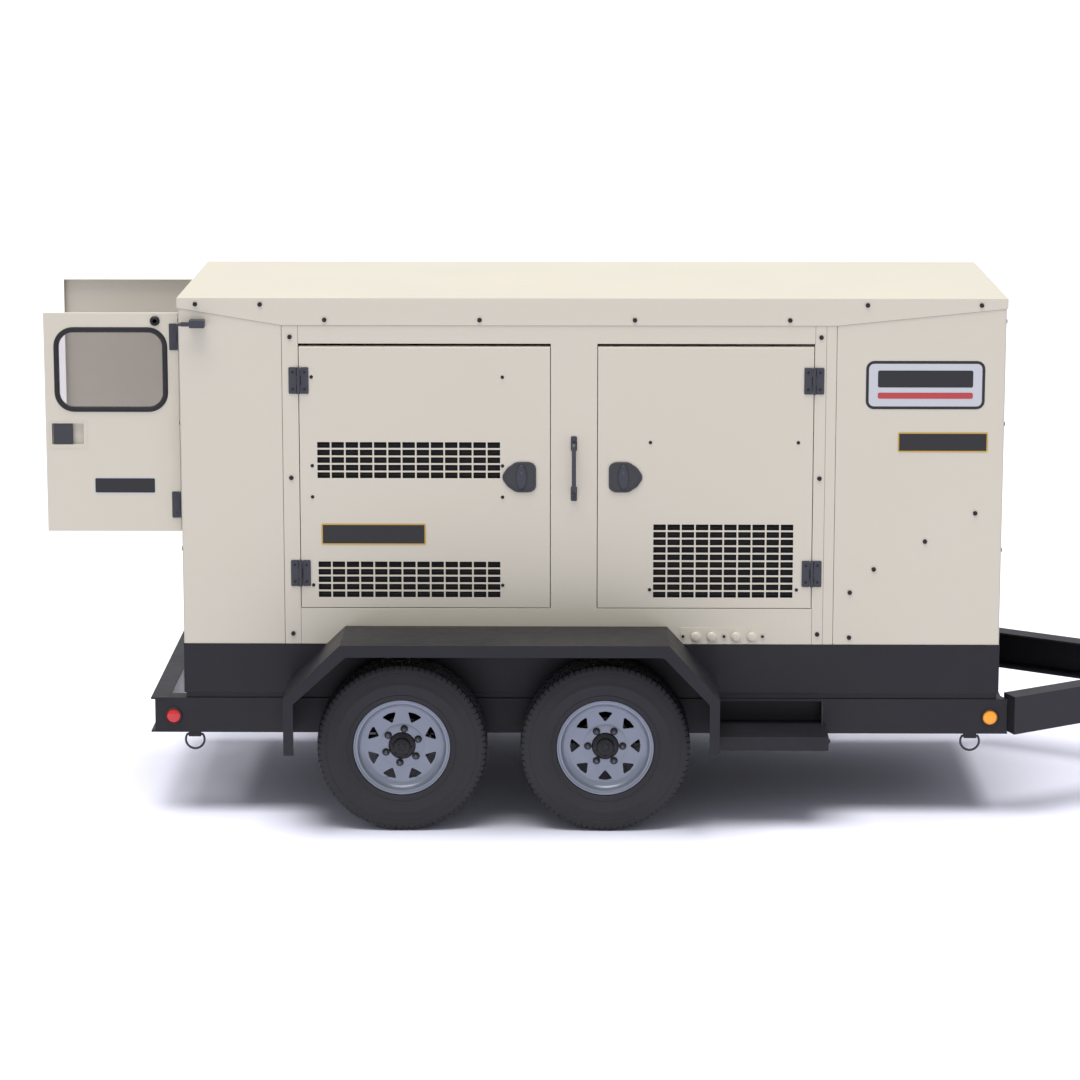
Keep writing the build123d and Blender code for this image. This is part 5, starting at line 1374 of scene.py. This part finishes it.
@dataclass
class Plates:
    """The badge with two plain bars, and the smaller blank plates."""

    badge: Plate = Plate(
        "badge", (1.108, 1.868), 0.50, 0.205, Coat.PLATE_DARK, Coat.PLATE_PALE, radius=0.034, border=0.012
    )
    wing: Plate = Plate("wing_plate", (1.186, 1.6245), 0.380, 0.085)
    door: Plate = Plate("door_plate", (-1.2195, 1.2255), 0.444, 0.092)
    rear: Plate = Plate(
        "rear_plate", (-2.2785, 1.423), 0.262, 0.070, Coat.PLATE_PALE, radius=0.010, border=0.004, skin=0.606
    )
    bars: tuple[tuple[str, Coat, float, float], ...] = (
        ("upper", Coat.PLATE_DARK, 0.026, 0.072), ("lower", Coat.PLATE_RED, -0.045, 0.026)
    )
    bar_width: float = 0.40

    def build(self) -> None:
        """Build the plates on both sides."""
        for side in Side:
            self.badge.build(side, "chassis")
            for name, coat, rise, height in self.bars:
                shape = Shape()
                centre = (self.badge.centre[0], self.badge.centre[1] + rise)
                depth = side.across(SKIN + self.badge.lift * 0.8, SKIN + self.badge.lift * 1.3)
                shape.sweep(rounded_rectangle(centre, self.bar_width, height, 0.008), Facing.Y, depth)
                shape.finish(f"badge_bar_{name}_{side.word}", coat)
            self.wing.build(side, "chassis")
            self.door.build(side, f"service_door_rear_{side.word}")
        self.rear.build(Side.RIGHT, "rear_door_right")


@dataclass
class ShellTrim:
    """Joint lines of the folded posts and the roof, and the caps and screws of the gland strip."""

    line: float = 0.0016
    proud: float = 0.0003
    post_z: Span = (0.7495, 2.117)
    door_z: Span = (0.907, 2.039)
    cut_posts: Spot = (-1.5320, 0.6440)
    whole_post: float = 0.6905
    skirt_rise: float = 0.073
    skirt_inset: float = 0.003
    gland_screws: Point = (0.011, 0.186, 0.350)
    gland_domes: tuple[float, ...] = (0.066, 0.134, 0.237, 0.305)
    dome_radius: float = 0.0215

    def build_lines(self) -> None:
        """Make the posts' joint lines, clear of the doors, and the line under the roof's skirt."""
        posts, seam = Shape(), Shape()
        (low, high), (door_low, door_high) = self.post_z, self.door_z
        roof, frame_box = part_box("roof"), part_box("side_frame_right")
        edge_z = roof[0].z
        ends = (roof[0].x + self.skirt_inset, roof[1].x - self.skirt_inset)
        top = [
            (ends[0], edge_z + self.skirt_rise), (frame_box[0].x, edge_z),
            (frame_box[1].x, edge_z), (ends[1], edge_z + self.skirt_rise),
        ]
        outline = top + [(x, z - self.line) for x, z in reversed(top)]
        spans = [(x, span) for x in self.cut_posts for span in ((low, door_low), (door_high, high))]
        for side in Side:
            depth = side.across(SKIN, SKIN + self.proud)
            for x, span in spans + [(self.whole_post, (low, high))]:
                posts.box((x - self.line / 2, x + self.line / 2), depth, span)
            seam.sweep(outline, Facing.Y, depth)
        posts.finish("post_joint_lines", Coat.LINE)
        seam.finish("skirt_seam", Coat.LINE)

    def build_glands(self) -> None:
        """Make the rounded blanking caps and the dark screws of the gland strip."""
        low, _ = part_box("gland_strip")
        domes, radius = Shape(), self.dome_radius
        section = (
            (0, 0.010), (1, 0.010), (1, 0.003), (0.93, -0.0008),
            (0.70, -0.0032), (0.35, -0.0045), (0, -0.0048),
        )
        for run in self.gland_domes:
            profile = [(radius * share, low.y + rise) for share, rise in section]
            domes.turn(profile, Facing.Y, (low.x + run, low.z + 0.031), 40)
        domes.finish("gland_domes", Coat.CREAM, smooth=50.0)
        spots = [(low.x + run, low.z + 0.033) for run in self.gland_screws]
        domed_screws("gland_screws", spots, Side.RIGHT, -low.y - 0.0069, 0.0100, "chassis")

    def build(self) -> None:
        """Build the lines, caps and screws."""
        self.build_lines()
        self.build_glands()


# ---------------------------------------------------------------- behind the doors
@dataclass
class ControlPanel:
    """Display, keys, lamps, outlets and collars on the rear control cabinet."""

    face: float = -1.843
    fascia: float = 0.012
    display: float = 0.034
    outlet_face: float = 0.026
    outlet_place: Spot = (0.530, 1.400)
    outlet_pitch: Spot = (0.096, 0.120)
    breaker_face: float = 0.030
    strip: float = 0.008

    def build_display(self) -> None:
        """Make the lit pane and the keys below it."""
        front = self.face - self.display
        pane, keys = Shape(), Shape()
        pane.sweep(rounded_rectangle((-0.330, 1.975), 0.196, 0.082, 0.005), Facing.X, (front - 0.0012, front))
        pane.finish("display_pane", Coat.SCREEN)
        for index in range(6):
            outline = rounded_rectangle((-0.4175 + 0.035 * index, 1.904), 0.022, 0.016, 0.004)
            keys.sweep(outline, Facing.X, (front - 0.003, front))
        keys.finish("display_keys", Coat.PLATE_PALE, bevel=0.0006)

    def build_lamps(self) -> None:
        """Make the warning lamps, the key switch and the stop button's collar."""
        front = self.face - self.fascia
        dome = [(0.009, front), (0.009, front - 0.003), (0.006, front - 0.007), (0, front - 0.008)]
        lamps = (
            ("ready", Coat.GREEN, -0.480),
            ("warning", Coat.AMBER_LENS, -0.435),
            ("fault", Coat.RED_LENS, -0.390),
        )
        for name, coat, y in lamps:
            shape = Shape()
            shape.turn(dome, Facing.X, (y, 1.752), 24)
            shape.finish(f"lamp_{name}", coat, slot="fascia_plastic")
        collar, switch = Shape(), Shape()
        spot = (-0.340, 1.790)
        hole = circle_loop(spot, 0.0125, 32)
        collar.sweep(circle_loop(spot, 0.033, 48), Facing.X, (front - 0.0006, front), [hole])
        collar.finish("stop_collar", Coat.YELLOW)
        section = ((0, 0), (0.016, 0), (0.016, 0.004), (0.012, 0.009), (0, 0.009))
        switch.turn([(radius, front - rise) for radius, rise in section], Facing.X, (-0.220, 1.790), 32)
        switch.box((front - 0.016, front - 0.009), (-0.2215, -0.2185), (1.781, 1.799))
        switch.finish("key_switch", Coat.STEEL, bevel=0.0005)

    def build_outlets(self) -> None:
        """Make a ring, a sprung cap and a hinge on each power outlet."""
        front = self.face - self.outlet_face
        ring_section = ((0.0385, 0), (0.0385, 0.004), (0.036, 0.006), (0.031, 0.006), (0.031, 0))
        cap_section = ((0, 0), (0.0305, 0), (0.0305, 0.008), (0.027, 0.012), (0, 0.013))
        coats = (Coat.BLACK, Coat.PLATE_RED, Coat.PLATE_PALE, Coat.GREEN, Coat.YELLOW, Coat.BLACK)
        for index, coat in enumerate(coats):
            row, column = divmod(index, 3)
            y = self.outlet_place[0] - column * self.outlet_pitch[0]
            z = self.outlet_place[1] + row * self.outlet_pitch[1]
            ring, cap = Shape(), Shape()
            profile = [(radius, front - rise) for radius, rise in ring_section]
            ring.turn(profile, Facing.X, (y, z), 40, closed=True)
            ring.finish(f"outlet_ring_{index}", coat, slot="fascia_plastic")
            cap.turn([(radius, front - rise) for radius, rise in cap_section], Facing.X, (y, z), 40)
            cap.box((front - 0.012, front), (y - 0.012, y + 0.012), (z + 0.029, z + 0.041))
            cap.finish(f"outlet_cap_{index}", Coat.BLACK_PLASTIC, bevel=0.0008, slot="fascia_plastic")

    def build_terminals(self) -> None:
        """Make the small socket faces, the breaker's surround and corner screws."""
        strip, front = self.face - self.strip, self.face - self.breaker_face
        sockets, surround, screws = Shape(), Shape(), Shape()
        for index in range(4):
            spot = (0.335 + 0.066 * index, 1.645)
            hole = rounded_rectangle(spot, 0.030, 0.020, 0.004)
            outline = rounded_rectangle(spot, 0.048, 0.070, 0.006)
            sockets.sweep(outline, Facing.X, (strip - 0.004, strip), [hole])
        sockets.finish("small_sockets", Coat.PLATE_PALE, bevel=0.0006)
        outer = rounded_rectangle((-0.020, 1.475), 0.150, 0.350, 0.010)
        inner = rounded_rectangle((-0.020, 1.450), 0.062, 0.150, 0.006)
        surround.sweep(outer, Facing.X, (front - 0.003, front), [inner])
        surround.finish("breaker_surround", Coat.CABINET, bevel=0.001)
        section = ((0.009, 0), (0.009, 0.002), (0.005, 0.005), (0, 0.005))
        dome = [(radius, self.face - rise) for radius, rise in section]
        for y in (-0.570, 0.570):
            for z in (1.260, 1.700, 2.120):
                screws.turn(dome, Facing.X, (y, z), 20)
        screws.finish("cabinet_screws", Coat.STEEL)

    def build(self) -> None:
        """Build every piece of the panel."""
        self.build_display()
        self.build_lamps()
        self.build_outlets()
        self.build_terminals()


@dataclass
class EngineDressing:
    """Ribs, bolts, filters, covers and a belt drive on the plain engine set."""

    half: float = 0.260
    block: Span = (-0.250, 0.570)
    shaft_z: float = 1.090
    generator: Span = (-0.820, -0.330)
    generator_radius: float = 0.2852
    rib: float = 0.011
    rib_depth: float = 0.009
    flanges: tuple[Span, Span] = ((0.900, 0.922), (1.180, 1.204))
    filters: Spot = (0.07, 0.20)
    pulleys: tuple[Spot, Spot] = ((1.300, 0.075), (0.900, 0.095))

    def build_ribs(self) -> None:
        """Make the generator's cooling ribs as a fluted sleeve."""
        shape, count = Shape(), 48
        inner, outer, (start, end) = self.generator_radius, self.generator_radius + self.rib, self.generator
        angles = [
            2 * math.pi * (index + share) / count
            for index in range(count) for share in (0.0, 0.3, 0.36, 0.94)
        ]

        def dent(row: int, column: int) -> float:
            """Drop the radius between two ribs."""
            return self.rib_depth if row in (1, 2) and column % 4 in (2, 3) else 0.0

        profile = [(inner, start), (outer, start), (outer, end), (inner, end)]
        shape.turn(profile, Facing.X, (0.0, self.shaft_z), angles=angles, dent=dent, closed=True)
        shape.finish("generator_ribs", Coat.ALTERNATOR, smooth=20.0)

    def build_block(self) -> None:
        """Make the joint flanges, webs and bolts along both sides of the block."""
        webs, bolts = Shape(), Shape()
        start, end = self.block
        lower, upper = self.flanges
        for side in Side:
            head = side.across(self.half + 0.012, self.half + 0.020)
            for flange in self.flanges:
                webs.box((start + 0.02, end - 0.02), side.across(self.half, self.half + 0.012), flange)
            for index in range(7):
                x = start + 0.06 + index * 0.115
                webs.box((x, x + 0.014), side.across(self.half, self.half + 0.009), (lower[1], upper[0]))
                for flange, radius in ((upper, 0.010), (lower, 0.009)):
                    bolts.sweep(circle_loop((x + 0.058, sum(flange) / 2), radius, 6), Facing.Y, head)
        webs.finish("block_webs", Coat.CASTING, bevel=0.002)
        bolts.finish("block_bolts", Coat.NUT_STEEL, bevel=0.001)

    def build_filters(self) -> None:
        """Make the spin-on filters, their heads and the rocker covers."""
        cans, heads, covers = Shape(), Shape(), Shape()
        y = -self.half - 0.058
        can = [
            (0, 0.965), (0.040, 0.965), (0.046, 0.975), (0.046, 1.115),
            (0.043, 1.122), (0.043, 1.130), (0, 1.130),
        ]
        for x in self.filters:
            cans.turn(can, Facing.Z, (x, y), 40)
            heads.rod(Facing.Z, (x, y), (1.130, 1.160), 0.047, 32)
            heads.box((x - 0.03, x + 0.03), (y, -self.half), (1.132, 1.158))
        for index in range(3):
            x = self.block[0] + 0.14 + index * 0.26
            covers.sweep(rounded_rectangle((x, 0.0), 0.215, 0.24, 0.03), Facing.Z, (1.420, 1.452))
        cans.finish("filter_cans", Coat.FILTER)
        heads.finish("filter_heads", Coat.CASTING, bevel=0.002)
        covers.finish("rocker_covers", Coat.CASTING, bevel=0.008)

    def belt(self, rise: float) -> Loop:
        """Return the belt's outline, this far outside the pulleys' rims."""
        (upper_z, upper), (lower_z, lower) = self.pulleys
        below = circle_loop((0.0, lower_z), lower + rise, 48)
        return circle_loop((0.0, upper_z), upper + rise, 48)[:25] + below[24:] + below[:1]

    def build_drive(self) -> None:
        """Make the crank pulley, the upper pulley and the belt round them."""
        wheels, belt = Shape(), Shape()
        groove = ((0, 0.572), (0, 0.577), (-0.012, 0.583), (0, 0.589), (0, 0.594))
        for z, radius in self.pulleys:
            profile = [(0, 0.572)] + [(radius + rise, x) for rise, x in groove] + [(0, 0.594)]
            wheels.turn(profile, Facing.X, (0.0, z))
        wheels.finish("belt_pulleys", Coat.NUT_STEEL)
        belt.sweep(self.belt(0.002), Facing.X, (0.578, 0.588), [self.belt(-0.009)])
        belt.finish("drive_belt", Coat.SEAL)

    def build(self) -> None:
        """Build every piece of the dressing."""
        self.build_ribs()
        self.build_block()
        self.build_filters()
        self.build_drive()


@dataclass
class GrabHandles:
    """The upright bars between the service doors, with end blocks and screws."""

    pad: Point = (0.026, 0.005, 0.063)
    bar: Spot = (0.009, 0.0055)
    bend: float = 0.022

    def path(self, low: float, high: float, reach: float) -> list[tuple[Spot, Spot]]:
        """Return places and directions along the bar, bent at both ends.

        Args:
            low: Height of the lower pad's middle.
            high: Height of the upper pad's middle.
            reach: Furthest distance off the centre-line.

        Returns:
            Pairs of place and unit direction, each (outwards, up).
        """
        start, bend = SKIN + self.pad[1], self.bend
        centre, steps = reach - self.bar[1] - bend, 8
        angles = [math.pi / 2 * step / steps for step in range(steps + 1)]
        turns = [(math.cos(angle), math.sin(angle)) for angle in angles]
        stations = [((start, low), (1.0, 0.0))]
        for cosine, sine in turns:
            stations.append(((centre + bend * sine, low + bend - bend * cosine), (cosine, sine)))
        for cosine, sine in turns:
            stations.append(((centre + bend * cosine, high - bend + bend * sine), (-sine, cosine)))
        return stations + [((start, high), (-1.0, 0.0))]

    def build(self) -> None:
        """Build one handle on each side as a bent oval bar on two pads."""
        low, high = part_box("grab_handles")
        middle_x = (low.x + high.x) / 2
        (width, thick, height), (wide, deep) = self.pad, self.bar
        ends = (low.z + height / 2, high.z - height / 2)
        shape = Shape()
        for side in Side:
            for pad_z in ends:
                outline = rounded_rectangle((middle_x, pad_z), width, height, 0.006)
                shape.sweep(outline, Facing.Y, side.across(SKIN, SKIN + thick))
                for rise in (-0.020, 0.020):
                    head = side.across(SKIN + thick, SKIN + thick + 0.003)
                    shape.rod(Facing.Y, (middle_x, pad_z + rise), head, 0.005, 16)
            rings = [
                [(middle_x + u * wide, side.value * (out + v * deep * up), z - v * deep * outwards)
                 for u, v in circle_loop((0, 0), 1.0, 20)]
                for (out, z), (outwards, up) in self.path(*ends, high.y)
            ]
            shape.wrap(rings, capped=True)
        shape.finish("grab_bars", Coat.SLATE, bevel=0.0008, stands_for=["grab_handles"])


# ---------------------------------------------------------------- studio
@dataclass
class Studio:
    """Plain floor, soft light and the camera."""

    camera_place: Point = (-0.3721, -15.8581, 4.1449)
    camera_yaw: float = -0.0093
    camera_pitch: float = 0.1914
    lens: float = 121.5
    sensor: float = 36.0
    far_clip: float = 200.0
    floor_half: float = 60.0
    floor_thick: float = 0.05
    sky: float = 0.58
    sky_tint: Point = (0.93, 0.95, 1.0)
    backdrop: float = 1.06
    key: float = 4.05
    key_tint: Point = (1.0, 0.988, 0.985)
    key_angle: float = 44.0
    key_tilt: Spot = (7.0, -6.0)

    def build_floor(self) -> None:
        """Lay a wide pale floor."""
        shape, limits = Shape(), (-self.floor_half, self.floor_half)
        shape.box(limits, limits, (-self.floor_thick, 0.0))
        data = bpy.data.meshes.new("floor")
        shape.mesh.to_mesh(data)
        shape.mesh.free()
        data.materials.append(Coat.FLOOR.material)
        floor = bpy.data.objects.new("floor", data)
        bpy.context.scene.collection.objects.link(floor)

    def build_light(self) -> None:
        """Set an even pale sky and one broad key light from above."""
        world = bpy.data.worlds.new("studio")
        bpy.context.scene.world = world
        world.use_nodes = True
        tree = world.node_tree
        soft, seen = tree.nodes["Background"], tree.nodes.new("ShaderNodeBackground")
        for sky, tint, strength in ((soft, self.sky_tint, self.sky), (seen, (1.0, 1.0, 1.0), self.backdrop)):
            sky.inputs["Color"].default_value = (*tint, 1.0)
            sky.inputs["Strength"].default_value = strength
        path = tree.nodes.new("ShaderNodeLightPath")
        mix = tree.nodes.new("ShaderNodeMixShader")
        for end, socket in zip(mix.inputs, (path.outputs["Is Camera Ray"], soft.outputs[0], seen.outputs[0])):
            tree.links.new(socket, end)
        tree.links.new(mix.outputs[0], tree.nodes["World Output"].inputs["Surface"])
        data = bpy.data.lights.new("key", "SUN")
        data.energy = self.key
        data.angle = math.radians(self.key_angle)
        data.color = self.key_tint
        lamp = bpy.data.objects.new("key", data)
        lamp.rotation_euler = (math.radians(self.key_tilt[0]), math.radians(self.key_tilt[1]), 0)
        bpy.context.scene.collection.objects.link(lamp)
        bpy.context.scene.view_settings.view_transform = "Standard"

    def build_camera(self) -> None:
        """Stand the camera level with the canopy, looking slightly down."""
        data = bpy.data.cameras.new("camera")
        data.lens = self.lens
        data.sensor_width = self.sensor
        data.clip_end = self.far_clip
        camera = bpy.data.objects.new("camera", data)
        camera.location = self.camera_place
        camera.rotation_euler = (math.pi / 2 - self.camera_pitch, 0, -self.camera_yaw)
        bpy.context.scene.collection.objects.link(camera)
        bpy.context.scene.camera = camera

    def build(self) -> None:
        """Build the floor, the light and the camera."""
        self.build_floor()
        self.build_light()
        self.build_camera()


def main() -> None:
    """Build every piece in order and report each one."""
    logging.basicConfig(level=logging.INFO, format="%(message)s")
    Studio().build()
    Carcass().dress()
    for side in Side:
        for bay in Bay:
            ServiceDoor(side, bay).build()
        for axle in ("rear", "front"):
            Wheel(side, axle).build()
        RearDoor(side).build()
    for assembly in (FixedLeaves, ShellTrim, ControlPanel, EngineDressing, Lamps, Plates, GrabHandles):
        assembly().build()


if __name__ == "__main__":
    main()
